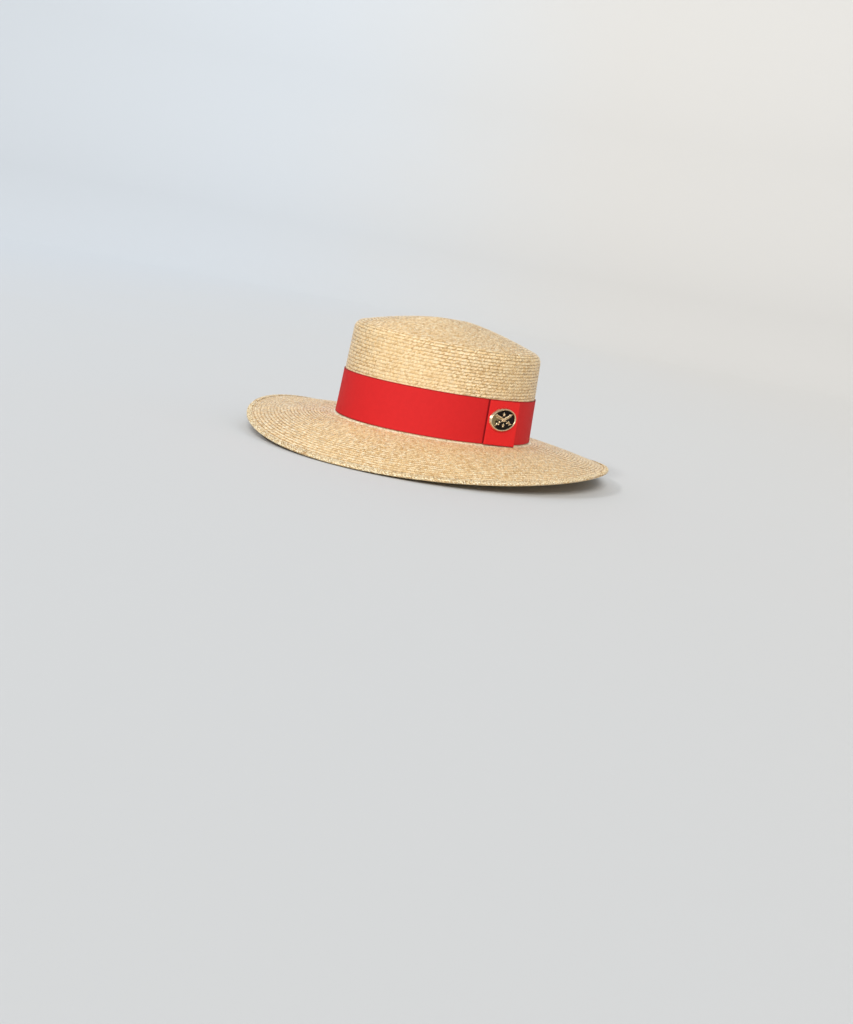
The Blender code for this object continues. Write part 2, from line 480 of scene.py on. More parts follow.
def add_piece(name: str, bm: bmesh.types.BMesh, finish: bpy.types.Material,
              sharp: float = 40.0) -> bpy.types.Object:
    """Finished piece of the hat from a bmesh, riding on the frame.

    Args:
        name: The piece's name.
        bm: Its shape, which is freed.
        finish: Its material.
        sharp: Angle in degrees above which an edge stays crisp.

    Returns:
        The piece.
    """
    mesh = bpy.data.meshes.new(name)
    bm.to_mesh(mesh)
    bm.free()
    mesh.materials.append(finish)
    mesh.shade_smooth()
    mesh.set_sharp_from_angle(angle=math.radians(sharp))
    piece = bpy.data.objects.new(name, mesh)
    bpy.context.scene.collection.objects.link(piece)
    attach(piece, BODY)
    return piece


def triangles(piece: bpy.types.Object) -> int:
    """How many triangles a piece has."""
    return sum(len(polygon.vertices) - 2 for polygon in piece.data.polygons)


# Finishes


# The Mix node's sockets for colours go by number, because others share their names.
MIX_FACTOR, MIX_FIRST, MIX_SECOND, MIX_RESULT = 0, 6, 7, 2


class Graph:
    """Adds linked nodes to one node tree."""

    def __init__(self, tree: bpy.types.NodeTree) -> None:
        """Start from an empty tree."""
        tree.nodes.clear()
        self.tree = tree

    def feed(self, socket: bpy.types.NodeSocket, value: Value) -> None:
        """Link a socket to another, or set its value.

        Args:
            socket: The input.
            value: The output that it is linked to, or what it is set to.
        """
        if isinstance(value, bpy.types.NodeSocket):
            self.tree.links.new(value, socket)
        else:
            socket.default_value = value

    def add(self, kind: str, inputs: dict[str | int, Value] | None = None,
            **settings: object) -> bpy.types.Node:
        """Add a node.

        Args:
            kind: Blender's name for the node's type.
            inputs: What each named or numbered input gets.
            **settings: The node's own settings.

        Returns:
            The node.
        """
        node = self.tree.nodes.new(kind)
        for name, value in settings.items():
            setattr(node, name, value)
        for key, value in (inputs or {}).items():
            self.feed(node.inputs[key], value)
        return node

    def place(self, group: bpy.types.NodeTree, inputs: dict[str, Value],
              ) -> dict[str, bpy.types.NodeSocket]:
        """Place a node group in the tree.

        Args:
            group: The group.
            inputs: What each of its named inputs gets.

        Returns:
            Its outputs by name.
        """
        node = self.add("ShaderNodeGroup", inputs, node_tree=group)
        return {socket.name: socket for socket in node.outputs}

    def math(self, operation: str, *values: Value) -> bpy.types.NodeSocket:
        """Result of a Math node on some values."""
        node = self.add("ShaderNodeMath", dict(enumerate(values)), operation=operation)
        return node.outputs[0]

    def vector(self, operation: str, first: Value, second: Value) -> bpy.types.Node:
        """Vector Math node on two vectors."""
        return self.add("ShaderNodeVectorMath", {0: first, 1: second}, operation=operation)

    def split(self, vector: Value) -> list[bpy.types.NodeSocket]:
        """The three parts of a vector."""
        return list(self.add("ShaderNodeSeparateXYZ", {0: vector}).outputs)

    def where(self) -> bpy.types.NodeSocket:
        """Place on the piece."""
        return self.add("ShaderNodeTexCoord").outputs["Object"]

    def run_and_width(self) -> bpy.types.NodeSocket:
        """Run along the piece and place across it, from its own map."""
        return self.add("ShaderNodeUVMap", uv_map=UV_NAME).outputs[0]

    def stored(self, name: str) -> bpy.types.NodeSocket:
        """Value that is stored at the piece's points."""
        return self.add("ShaderNodeAttribute", attribute_name=name).outputs["Fac"]

    def level(self) -> bpy.types.NodeSocket:
        """How far up the surface faces, from -1 to 1."""
        return self.split(self.add("ShaderNodeNewGeometry").outputs["Normal"])[2]

    def mix(self, factor: Value, first: Value, second: Value) -> bpy.types.NodeSocket:
        """Mix of two colours.

        Args:
            factor: Share of the second colour.
            first: The first colour.
            second: The second colour.

        Returns:
            The mixed colour.
        """
        node = self.add("ShaderNodeMix", {
            MIX_FACTOR: factor, MIX_FIRST: first, MIX_SECOND: second}, data_type="RGBA")
        return node.outputs[MIX_RESULT]

    def stain(self, colour: Value, mask: Value, share: Value, stain: Value,
              ) -> bpy.types.NodeSocket:
        """Colour stained with another where a mask lies.

        Args:
            colour: The colour.
            mask: Where the stain lies.
            share: How strong it is there.
            stain: Its colour.

        Returns:
            The stained colour.
        """
        return self.mix(self.math("MULTIPLY", mask, share), colour, stain)

    def between(self, value: Value, span: tuple[Value, Value], to: Span = FULL,
                smooth: bool = True) -> bpy.types.NodeSocket:
        """Span of a value, mapped to another span and clamped.

        Args:
            value: What is mapped.
            span: Values that become the two ends of the other span.
            to: The other span.
            smooth: Whether the change eases in and out.

        Returns:
            The mapped value.
        """
        return self.add("ShaderNodeMapRange", {
            "Value": value, "From Min": span[0], "From Max": span[1],
            "To Min": to[0], "To Max": to[1],
        }, interpolation_type="SMOOTHSTEP" if smooth else "LINEAR").outputs[0]

    def ramp(self, factor: Value, stops: Sequence[tuple[float, Colour]],
             ) -> bpy.types.NodeSocket:
        """Colour ramp.

        Args:
            factor: Where on the ramp.
            stops: Position and colour of each stop.

        Returns:
            The colour.
        """
        node = self.add("ShaderNodeValToRGB", {"Fac": factor})
        elements = node.color_ramp.elements
        while len(elements) < len(stops):
            elements.new(1.0)
        for element, (position, colour) in zip(elements, stops):
            element.position = position
            element.color = colour
        return node.outputs[0]

    def noise(self, vector: Value, scale: Value, detail: Value = 2.0,
              roughness: float = 0.5) -> bpy.types.NodeSocket:
        """Noise texture.

        Args:
            vector: Where it is read.
            scale: How fine it is.
            detail: How many finer layers lie on it.
            roughness: How strong those are.

        Returns:
            Its value, about a half on average.
        """
        return self.add("ShaderNodeTexNoise", {
            "Vector": vector, "Scale": scale, "Detail": detail, "Roughness": roughness,
        }).outputs[0]

    def bump(self, height: Value, distance: float) -> bpy.types.NodeSocket:
        """Normal of a surface raised by height times a distance in metres."""
        return self.add("ShaderNodeBump", {
            "Height": height, "Distance": distance}).outputs[0]


class GroupGraph(Graph):
    """Nodes of a shader node group that puts out masks and values."""

    def __init__(self, name: str, inputs: dict[str, str]) -> None:
        """Start a group.

        Args:
            name: The group's name.
            inputs: Socket type of each named input.
        """
        super().__init__(bpy.data.node_groups.new(name, "ShaderNodeTree"))
        for socket, kind in inputs.items():
            self.tree.interface.new_socket(socket, in_out="INPUT", socket_type=kind)
        self.given = self.add("NodeGroupInput").outputs

    def give(self, values: dict[str, bpy.types.NodeSocket]) -> bpy.types.NodeTree:
        """Finish the group.

        Args:
            values: What each named output gives.

        Returns:
            The group.
        """
        for socket in values:
            self.tree.interface.new_socket(socket, in_out="OUTPUT", socket_type=FLOAT)
        self.add("NodeGroupOutput", values)
        return self.tree


# The plait: strands of a row in one plait, its midline, and where gaps and the seam lie.
STRANDS_A_PLAIT = 2.0
MIDLINE = 0.5
GAP_ARCH: Span = (0.05, 0.55)
SEAM_ACROSS: Span = (0.14, 0.38)


@cache
def plait_group() -> bpy.types.NodeTree:
    """Slanted strands of a flat plait, two rows of them that meet along its middle.

    The input Run and width counts plaits along the braid and goes from 0 to 1 over its face
    and on to 2 over its back.

    Returns:
        The group.
    """
    graph = GroupGraph("straw_plait", {"Run and width": VECTOR, "Slant": FLOAT, "Tilt": FLOAT})
    run, width, _ = graph.split(graph.given["Run and width"])
    across = graph.math("PINGPONG", width, 1.0)
    side = graph.math("GREATER_THAN", across, MIDLINE)
    slant = graph.math("MULTIPLY", graph.math("ABSOLUTE", graph.math(
        "SUBTRACT", across, MIDLINE)), graph.given["Slant"])
    along = graph.math("ADD", graph.math("MULTIPLY_ADD", run, STRANDS_A_PLAIT, slant),
                       graph.math("MULTIPLY", side, 0.5))
    cell = graph.math("FLOOR", along)
    key = graph.add("ShaderNodeCombineXYZ", {
        0: cell, 1: side, 2: graph.math("FLOOR", width)}).outputs[0]
    chance = graph.add("ShaderNodeTexWhiteNoise", {"Vector": key}, noise_dimensions="3D")
    _, lean, shine = graph.add("ShaderNodeSeparateColor", {0: chance.outputs["Color"]}).outputs
    off_middle = graph.math("MULTIPLY_ADD", graph.math("SUBTRACT", along, cell), 2.0, -1.0)
    arch = graph.math("SUBTRACT", 1.0, graph.math("MULTIPLY", off_middle, off_middle))
    tilt = graph.math("MULTIPLY", graph.math("MULTIPLY_ADD", lean, 2.0, -1.0),
                      graph.math("MULTIPLY", off_middle, graph.given["Tilt"]))
    return graph.give({
        "Height": graph.math("ADD", arch, tilt),
        "Strand": chance.outputs["Value"],
        "Shine": shine,
        "Gap": graph.between(arch, GAP_ARCH, FALLING),
        # Where each row's seam groove lies, which the straw's finish darkens with painted shade.
        "Seam": graph.between(across, SEAM_ACROSS, FALLING),
    })


# The patches: scale of the broad ones, and the spans of noise that both kinds are made of.
BROAD_SCALE = 14.0
BROAD_DETAIL = 3.0
BROAD_SPAN: Span = (0.32, 0.68)
SMALL_SPAN: Span = (0.30, 0.70)


@cache
def patch_group() -> bpy.types.NodeTree:
    """Soft uneven patches, from broad ones to small ones, as values from 0 to 1.

    Returns:
        The group.
    """
    graph = GroupGraph("uneven_patches", {"Small scale": FLOAT})
    where = graph.where()
    return graph.give({
        "Broad": graph.between(graph.noise(where, BROAD_SCALE, BROAD_DETAIL), BROAD_SPAN),
        "Small": graph.between(graph.noise(where, graph.given["Small scale"]), SMALL_SPAN),
    })


@cache
def grain_group() -> bpy.types.NodeTree:
    """Fine grain, and a mask of where the surface is level enough to show it.

    Returns:
        The group.
    """
    graph = GroupGraph("fine_grain", {"Scale": FLOAT, "Steep": FLOAT, "Flat": FLOAT})
    return graph.give({
        "Grain": graph.noise(graph.where(), graph.given["Scale"]),
        "Level": graph.between(graph.math("ABSOLUTE", graph.level()),
                               (graph.given["Steep"], graph.given["Flat"])),
    })


@cache
def weave_group() -> bpy.types.NodeTree:
    """Fine ribs across a ribbon, and the firm selvedge along each of its sides.

    The inputs Inner and Outer are the selvedge's edges, as shares of the ribbon's width.

    Returns:
        The group.
    """
    graph = GroupGraph("ribbon_weave", {"Run and width": VECTOR, "Inner": FLOAT,
                                        "Outer": FLOAT})
    run, width, _ = graph.split(graph.given["Run and width"])
    edge = graph.math("MINIMUM", width, graph.math("SUBTRACT", 1.0, width))
    return graph.give({
        "Rib": graph.between(graph.math("PINGPONG", run, 0.5), (0.0, 0.5)),
        "Selvedge": graph.between(edge, (graph.given["Inner"], graph.given["Outer"]), FALLING),
    })


# The metal's blotches: how many finer layers lie on them, and how strong those are.
BLOTCH_DETAIL = 3.0
BLOTCH_ROUGHNESS = 0.6


@cache
def patina_group() -> bpy.types.NodeTree:
    """Blotches and speckles of metal, and how worn they make it together with a stain.

    Returns:
        The group.
    """
    graph = GroupGraph("metal_patina", {
        "Blotch scale": FLOAT, "Speckle scale": FLOAT, "Speckle share": FLOAT,
        "Stain": FLOAT, "Stain share": FLOAT})
    where = graph.where()
    blotch = graph.noise(where, graph.given["Blotch scale"], BLOTCH_DETAIL, BLOTCH_ROUGHNESS)
    speckle = graph.noise(where, graph.given["Speckle scale"])
    spots = graph.math("MULTIPLY_ADD", speckle, graph.given["Speckle share"], blotch)
    return graph.give({
        "Blotch": blotch,
        "Speckle": speckle,
        "Worn": graph.math("MULTIPLY_ADD", graph.given["Stain"], graph.given["Stain share"],
                           spots),
    })


FIBRE_ROUGHNESS = 0.6


@cache
def fibre_group() -> bpy.types.NodeTree:
    """Fine fibres or threads along a piece, drawn out by the input Stretch.

    Returns:
        The group.
    """
    graph = GroupGraph("fine_fibres", {
        "Run and width": VECTOR, "Stretch": VECTOR, "Scale": FLOAT, "Detail": FLOAT})
    drawn = graph.vector("MULTIPLY", graph.given["Run and width"], graph.given["Stretch"])
    return graph.give({"Fibre": graph.noise(
        drawn.outputs[0], graph.given["Scale"], graph.given["Detail"], FIBRE_ROUGHNESS)})


@dataclass(frozen=True)
class Finish(ABC):
    """A finish, whose material is made once."""

    name: str

    @cache
    def material(self) -> bpy.types.Material:
        """Make the finish's material round a Principled shader.

        Returns:
            The material.
        """
        material = bpy.data.materials.new(self.name)
        material.use_nodes = True
        graph = Graph(material.node_tree)
        shader = graph.add("ShaderNodeBsdfPrincipled")
        graph.add("ShaderNodeOutputMaterial", {"Surface": shader.outputs[0]})
        for socket, value in self.dress(graph).items():
            graph.feed(shader.inputs[socket], value)
        return material

    @abstractmethod
    def dress(self, graph: Graph) -> dict[str, Value]:
        """Add the finish's own nodes.

        Args:
            graph: The material's nodes.

        Returns:
            What each named input of the shader gets.
        """


@dataclass(frozen=True)
class StrawFinish(Finish):
    """Natural wheat straw, plaited, satin.

    Of the strands, dark_share are dark, those of middle_span are of the middle colour, and
    those above light_share are light.
    """

    dark: Colour = (0.62, 0.385, 0.155, 1.0)
    middle: Colour = (0.90, 0.650, 0.335, 1.0)
    light: Colour = (0.98, 0.800, 0.510, 1.0)
    # Colour of the painted shade in the seams between rows and in the groove along the edge
    # plait.
    seam_shade: Colour = (0.44, 0.240, 0.080, 1.0)
    # Pale colour of the grain specks, and of the painted highlight under the ribbon.
    pale: Colour = (1.0, 0.900, 0.660, 1.0)
    dark_share: float = 0.10
    middle_span: Span = (0.26, 0.50)
    light_share: float = 0.78
    patch_scale: float = 120.0
    broad_share: float = 0.35
    small_share: float = 0.20
    fibre_stretch: tuple[float, float, float] = (1.2, 9.0, 1.0)
    fibre_scale: float = 3.0
    fibre_detail: float = 3.0
    fibre_span: Span = (0.35, 0.75)
    fibre_share: float = 0.22
    fibre_height: float = 0.25
    gap_depth: float = 0.45
    seam_shade_depth: float = 0.95
    seam_shade_faded: float = 0.45
    highlight_share: float = 0.90
    grain: float = 330.0
    grain_depth: float = 0.95
    grain_level: Span = (0.6, 0.95)
    dark_grain: Span = (0.52, 0.74)
    pale_grain: Span = (0.26, 0.48)
    groove_shade_grain: Span = (0.46, 0.62)
    groove_shade_share: float = 0.55
    slant: float = 1.4
    tilt: float = 1.5
    height: float = 0.00028
    gloss: float = 0.20
    dullness: float = 0.50
    specular: float = 0.5

    def dress(self, graph: Graph) -> dict[str, Value]:
        """Add strands and fibres, and the specks over them, painted shade in the seam grooves
        between rows and in the groove along the edge plait, and a painted highlight in a pale
        ring under the ribbon.

        Args:
            graph: The material's nodes.

        Returns:
            What each named input of the shader gets.
        """
        lie = graph.run_and_width()
        plait = graph.place(plait_group(), {
            "Run and width": lie, "Slant": self.slant, "Tilt": self.tilt})
        patches = graph.place(patch_group(), {"Small scale": self.patch_scale})
        fibre = graph.place(fibre_group(), {
            "Run and width": lie, "Stretch": self.fibre_stretch, "Scale": self.fibre_scale,
            "Detail": self.fibre_detail})["Fibre"]
        colour = graph.ramp(plait["Strand"], (
            (0.0, self.dark), (self.dark_share, self.dark),
            (self.middle_span[0], self.middle), (self.middle_span[1], self.middle),
            (self.light_share, self.light), (1.0, self.light)))
        for value, span, share, stain in (
                (patches["Broad"], FULL, self.broad_share, self.middle),
                (patches["Small"], FULL, self.small_share, self.light),
                (fibre, self.fibre_span, self.fibre_share, self.dark)):
            colour = graph.mix(graph.between(value, span, (0.0, share)), colour, stain)
        colour = graph.stain(colour, plait["Gap"], self.gap_depth, self.dark)
        # Painted shade in the seam groove between rows, fainter in places.
        colour = graph.stain(colour, plait["Seam"], graph.between(
            patches["Broad"], FULL, (self.seam_shade_depth, self.seam_shade_depth * self.seam_shade_faded)),
            self.seam_shade)
        # Painted highlight where the straw turns up under the ribbon.
        colour = graph.stain(colour, graph.stored(PAINTED_HIGHLIGHT), self.highlight_share, self.pale)
        grain = graph.place(grain_group(), {
            "Scale": self.grain, "Steep": self.grain_level[0], "Flat": self.grain_level[1]})
        # Grain specks on level faces, and speckled painted shade in the groove along the edge
        # plait.
        for mask, span, to, stain in (
                (grain["Level"], self.dark_grain, (0.0, self.grain_depth), self.dark),
                (grain["Level"], self.pale_grain, (self.grain_depth, 0.0), self.pale),
                (graph.stored(EDGE_SHADE), self.groove_shade_grain, (0.0, self.groove_shade_share), self.seam_shade)):
            share = graph.between(grain["Grain"], span, to)
            colour = graph.stain(colour, mask, share, stain)
        height = graph.math("ADD", plait["Height"],
                            graph.math("MULTIPLY", fibre, self.fibre_height))
        return {
            "Base Color": colour,
            "Roughness": graph.between(plait["Shine"], FULL, (self.gloss, self.dullness),
                                       smooth=False),
            "Normal": graph.bump(height, self.height),
            "Specular IOR Level": self.specular,
        }


@dataclass(frozen=True)
class RibbonFinish(Finish):
    """Plain red ribbon with fine ribs across it, a firm, darker selvedge at each side, and
    painted shade where its stored mask lies.
    """

    face: Colour = (0.615, 0.0165, 0.0170, 1.0)
    shade: Colour = (0.43, 0.009, 0.011, 1.0)
    dark_edge_and_shade: Colour = (0.16, 0.003, 0.006, 1.0)
    rib_share: float = 0.30
    thread_stretch: tuple[float, float, float] = (1.0, 90.0, 1.0)
    thread_scale: float = 2.0
    thread_detail: float = 2.0
    thread_span: Span = (0.35, 0.70)
    thread_share: float = 0.20
    thread_height: float = 0.5
    patch_scale: float = 260.0
    patch_share: float = 0.12
    rib_height: float = 0.00005
    selvedge: float = 0.022
    selvedge_inner: float = 0.6
    selvedge_share: float = 0.60
    selvedge_height: float = 2.0
    edge_shade_share: float = 0.85
    rough_thread: Span = (0.3, 0.7)
    roughness: Span = (0.62, 0.80)
    specular: float = 0.18

    def dress(self, graph: Graph) -> dict[str, Value]:
        """Add ribs, threads and selvedges, and the painted shade.

        Args:
            graph: The material's nodes.

        Returns:
            What each named input of the shader gets.
        """
        lie = graph.run_and_width()
        patches = graph.place(patch_group(), {"Small scale": self.patch_scale})
        weave = graph.place(weave_group(), {
            "Run and width": lie, "Inner": self.selvedge * self.selvedge_inner,
            "Outer": self.selvedge})
        thread = graph.place(fibre_group(), {
            "Run and width": lie, "Stretch": self.thread_stretch, "Scale": self.thread_scale,
            "Detail": self.thread_detail})["Fibre"]
        colour = self.face
        for value, span, to in (
                (weave["Rib"], FULL, (self.rib_share, 0.0)),
                (thread, self.thread_span, (0.0, self.thread_share)),
                (patches["Small"], FULL, (0.0, self.patch_share))):
            colour = graph.mix(graph.between(value, span, to), colour, self.shade)
        colour = graph.stain(colour, weave["Selvedge"], self.selvedge_share, self.dark_edge_and_shade)
        # Painted shade from the stored mask, in the same dark red as the selvedges.
        colour = graph.stain(colour, graph.stored(EDGE_SHADE), self.edge_shade_share, self.dark_edge_and_shade)
        height = graph.math("ADD", weave["Rib"], graph.math(
            "MULTIPLY", weave["Selvedge"], self.selvedge_height))
        height = graph.math("ADD", height, graph.math("MULTIPLY", thread, self.thread_height))
        return {
            "Base Color": colour,
            "Roughness": graph.between(thread, self.rough_thread, self.roughness),
            "Normal": graph.bump(height, self.rib_height),
            "Specular IOR Level": self.specular,
        }


@dataclass(frozen=True)
class MetalFinish(Finish):
    """Gold-coloured plate with darker patina where it isn't rubbed."""

    metal: Colour = (0.96, 0.77, 0.51, 1.0)
    patina: Colour = (0.30, 0.20, 0.08, 1.0)
    patina_share: float = 0.25
    smooth: float = 0.16
    rough: float = 0.38
    rough_span: Span = (0.35, 0.65)
    speckle: float = 900.0
    speckle_share: float = 0.35
    blotch: float = 320.0
    stain_share: float = 0.4
    sharpness: float = 0.40
    start: float = 0.65
    dent: float = 0.00006

    def dress(self, graph: Graph) -> dict[str, Value]:
        """Add the patina's blotches and speckles, and small dents.

        Args:
            graph: The material's nodes.

        Returns:
            What each named input of the shader gets.
        """
        spots = graph.place(patina_group(), {
            "Blotch scale": self.blotch, "Speckle scale": self.speckle,
            "Speckle share": self.speckle_share, "Stain": graph.stored(PATINA),
            "Stain share": self.stain_share})
        half = self.sharpness / 2
        worn = graph.between(spots["Worn"], (self.start - half, self.start + half),
                             (0.0, self.patina_share))
        return {
            "Base Color": graph.mix(worn, self.metal, self.patina),
            "Roughness": graph.between(spots["Blotch"], self.rough_span,
                                       (self.smooth, self.rough)),
            "Normal": graph.bump(graph.math("ADD", spots["Blotch"], spots["Speckle"]),
                                 self.dent),
            "Metallic": 1.0,
        }


@dataclass(frozen=True)
class StageFinish(Finish):
    """Pale matt backdrop, a little cooler to one side, with painted light and shade by slope and
    side: darker where it bends up, and paler where it bends up in shade.

    Each share is how pale the backdrop is there, with 1 for its own colour.
    """

    cool: Colour = (0.655, 0.700, 0.745, 1.0)
    warm: Colour = (0.675, 0.665, 0.640, 1.0)
    across: tuple[float, float, float] = (0.766, 0.643, 0.0)
    across_span: Span = (-1.8, 1.6)
    towards_shade: tuple[float, float, float] = (0.643, -0.766, 0.0)
    shade_span: Span = (-1.0, 4.0)
    grain: float = 2.0
    grain_weight: float = 0.4
    first_half: Span = (0.0, 0.5)
    flat_share: float = 0.97
    steep_share: float = 0.80
    wall_share: float = 1.12
    shaded_share: float = 1.38
    roughness: float = 0.9
    specular: float = 0.1

    def dress(self, graph: Graph) -> dict[str, Value]:
        """Add the slow change of colour, and the painted light and shade that go by slope and
        side.

        Args:
            graph: The material's nodes.

        Returns:
            What each named input of the shader gets.
        """
        where = graph.where()
        side = graph.vector("DOT_PRODUCT", where, self.across).outputs["Value"]
        side = graph.math("MULTIPLY_ADD", graph.noise(where, self.grain), self.grain_weight,
                          side)
        colour = graph.mix(graph.between(side, self.across_span), self.cool, self.warm)
        level = graph.level()
        slope = graph.math("SQRT", graph.math("SUBTRACT", 1.0,
                                              graph.math("MULTIPLY", level, level)))
        # Painted shade on the bend and walls, and painted light where they lie on the side in
        # shade.
        lit = graph.math(
            "MULTIPLY",
            graph.between(slope, self.first_half, (1.0, self.steep_share), smooth=False),
            graph.between(level, self.first_half, (self.wall_share, self.flat_share),
                          smooth=False))
        shaded = graph.between(slope, FULL, (self.flat_share, self.shaded_share), smooth=False)
        near = graph.vector("DOT_PRODUCT", where, self.towards_shade).outputs["Value"]
        pale = graph.math("MULTIPLY_ADD", graph.between(near, self.shade_span),
                          graph.math("SUBTRACT", shaded, lit), lit)
        scaled = graph.add("ShaderNodeVectorMath", {0: colour, "Scale": pale},
                           operation="SCALE")
        return {
            "Base Color": scaled.outputs[0],
            "Roughness": self.roughness,
            "Specular IOR Level": self.specular,
        }


# Straw


@dataclass(frozen=True)
class RowPoint:
    """One point of a braid row's section.

    across goes from 0 at the row's inner side to 1 at its lip, lift is off the hat's face,
    and width is the point's place across the plait, up to 1 on its face and 2 on its back.
    """

    across: float
    lift: float
    width: float


@dataclass
class SewnStraw:
    """One spiral of straw braid, sewn row over row from the tip's middle to the rim.

    The crown's rows are sewn lower in front than behind, by front_sag. A painted highlight makes
    the straw pale where it turns up under the ribbon, and painted shade darkens the groove along
    the inner side of the edge plait.
    """

    surface: StrawSurface
    finish: StrawFinish
    pitch: float = 0.0030
    step: float = 0.0018
    plait: float = 0.0030
    join_height: float = 0.0036
    join_turn: float = math.radians(-4.8)
    seed: int = 11
    drift: float = 0.00007
    drift_wave: float = 0.06
    tooth: float = 0.00003
    lump: float = 0.00002
    lumpy: Span = (0.2, 0.9)
    tip_rise: float = 0.0003
    front_sag: float = 0.0036
    highlight_out: float = 0.0016
    highlight_width: float = 0.0026
    groove_in: float = 0.0040
    groove_half: float = 0.0010
    groove_shade_depth: float = 1.3
    tail: float = 0.6
    tail_thickness: float = 0.0002
    last_row: float = 0.70
    crisp: float = 48.0
    face_rows: tuple[RowPoint, ...] = (
        RowPoint(-0.18, -0.00064, 0.0), RowPoint(0.08, -0.00030, 0.15),
        RowPoint(0.36, 0.00004, 0.40), RowPoint(0.72, 0.00015, 0.74),
        RowPoint(1.00, -0.00005, 1.0))
    back_rows: tuple[RowPoint, ...] = (
        RowPoint(0.98, -0.00062, 1.1), RowPoint(-0.15, -0.00145, 1.9))
    lines: dict[str, np.ndarray] = field(default_factory=dict)

    def lay_braid(self) -> None:
        """Work out the braid's middle line at even steps, with the slight unevenness."""
        rounds = self.surface.rim_reach / self.pitch - 0.5 + self.last_row
        turn = np.linspace(0.0, rounds * math.tau, int(rounds * STEPS_A_TURN))
        spots = self.surface.spots(turn, self._middle(turn), np.zeros_like(turn))
        turns, lengths = even_steps(spots, turn, round(run_along(spots)[-1] / self.step))
        rng = np.random.default_rng(self.seed)
        self.lines = {
            "turn": turns,
            "length": lengths,
            "drift": self.drift * soft_noise(rng, lengths, self.drift_wave),
            "tooth": self.tooth * (np.arange(len(turns)) % 2 * 2 - 1)
            + self.tooth * rng.uniform(-1, 1, len(turns)),
            "lump": self.lump * rng.uniform(-1, 1, len(turns)),
        }

    def _middle(self, turn: np.ndarray) -> np.ndarray:
        """Reach of the braid's middle line, with the sag from the tip to under the ribbon.

        Args:
            turn: Turns counted from the tip.

        Returns:
            The reach at each turn.
        """
        reach = self.pitch * (0.5 + turn / math.tau)
        shape = self.surface.shape
        corner = self.surface.reach_at_height(shape.crown_height)
        ribbon = self.surface.reach_at_height(shape.ribbon_foot + shape.ribbon_width)
        foot = self.surface.reach_at_height(shape.collar_height)
        share = np.interp(reach, (0.0, corner, ribbon, foot), (0.0, 1.0, 1.0, 0.0))
        return reach - self.front_sag * share * np.sin(turn)

    def _join(self) -> int:
        """Find where the crown's piece ends and the brim's begins, under the loop.

        Returns:
            The step along the braid.
        """
        reach = self.surface.reach_at_height(self.join_height)
        wanted = (reach / self.pitch - 0.5) * math.tau
        rounds = round((wanted - self.join_turn) / math.tau)
        return int(np.searchsorted(self.lines["turn"], self.join_turn + rounds * math.tau))

    def _row(self, row: RowPoint, line: dict[str, np.ndarray]) -> np.ndarray:
        """Line of points along the braid at one point of its section.

        Args:
            row: The point of the section.
            line: Turn, length and unevenness at each step of the piece.

        Returns:
            The points.
        """
        lumpy_from, lip_from = self.lumpy
        rim = self.surface.rim_reach
        first_round = line["turn"] < math.tau
        reach = self._middle(line["turn"]) + self.pitch * (row.across - 0.5)
        reach = reach + line["drift"] + (line["tooth"] if row.across > lip_from else 0.0)
        lift = row.lift + (line["lump"] if lumpy_from < row.across < lip_from else 0.0)
        lift = np.broadcast_to(lift, reach.shape)
        if row.across < 0:
            reach = np.where(first_round, 0.0, reach)
            lift = np.where(first_round, lift + self.tip_rise, lift)
        if row.width > 1:
            thick = np.where(reach >= rim, -self.surface.shape.straw, lift)
            tail = np.clip((self.lines["turn"][-1] - line["turn"]) / self.tail, 0.0, 1.0)
            lift = thick * tail - self.tail_thickness * (1 - tail)
        return self.surface.spots(line["turn"], np.clip(reach, 0.0, rim), lift)

    def build(self, part: StrawPart) -> bpy.types.Object:
        """Crown or brim, as one closed length of the braid.

        Args:
            part: Which of the two.

        Returns:
            The piece.
        """
        if not self.lines:
            self.lay_braid()
        join = self._join()
        piece = slice(0, join + 1) if part is StrawPart.CROWN else slice(join, None)
        line = {name: values[piece] for name, values in self.lines.items()}
        section = self.face_rows + self.back_rows
        rows = [self._row(row, line) for row in section]
        widths = np.array([row.width for row in section] + [2.0])
        bm = grid_bmesh(np.stack(rows + rows[:1], 1), line["length"] / self.plait, widths)
        face_outward(bm)
        made = add_piece(f"{part.value}_braid", bm, self.finish.material(),
                         self.crisp)
        # Painted highlight where the straw turns up under the ribbon.
        paint(made, PAINTED_HIGHLIGHT, self._highlight_under_ribbon)
        # Painted shade in the groove along the inner side of the edge plait.
        paint(made, EDGE_SHADE, self._shade_beside_edge)
        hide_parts(part.value)
        return made

    def _highlight_under_ribbon(self, points: np.ndarray) -> np.ndarray:
        """How strong the painted highlight is where the straw turns up under the ribbon.

        Args:
            points: Places on the straw.

        Returns:
            Shares from 0 to 1.
        """
        shape = self.surface.shape
        out = np.hypot(points[:, 0] / shape.half_width, points[:, 1] / shape.half_length)
        out = (out - 1) * (shape.half_width + shape.half_length) / 2
        low = points[:, 2] < self.surface.rise + shape.ribbon_foot * 2
        reach = np.clip(1 - np.abs(out - self.highlight_out) / self.highlight_width, 0.0, 1.0)
        return np.sqrt(reach) * low

    def _shade_beside_edge(self, points: np.ndarray) -> np.ndarray:
        """How strong the painted shade is in the groove along the inner side of the edge plait.

        Args:
            points: Places on the straw.

        Returns:
            Shares from 0 to 1.
        """
        turn = np.arctan2(points[:, 1], points[:, 0])
        ladder = np.linspace(-math.pi, math.pi, LADDER_POINTS)
        groove = self.surface.spots(ladder, np.full_like(
            ladder, self.surface.rim_reach - self.groove_in), np.zeros_like(ladder))
        place = np.arctan2(groove[:, 1], groove[:, 0])
        order = np.argsort(place)
        there = np.interp(turn, place[order], np.hypot(groove[:, 0], groove[:, 1])[order])
        off = np.hypot(points[:, 0], points[:, 1]) - there
        return np.clip(self.groove_shade_depth - np.abs(off) / self.groove_half, 0.0, 1.0)


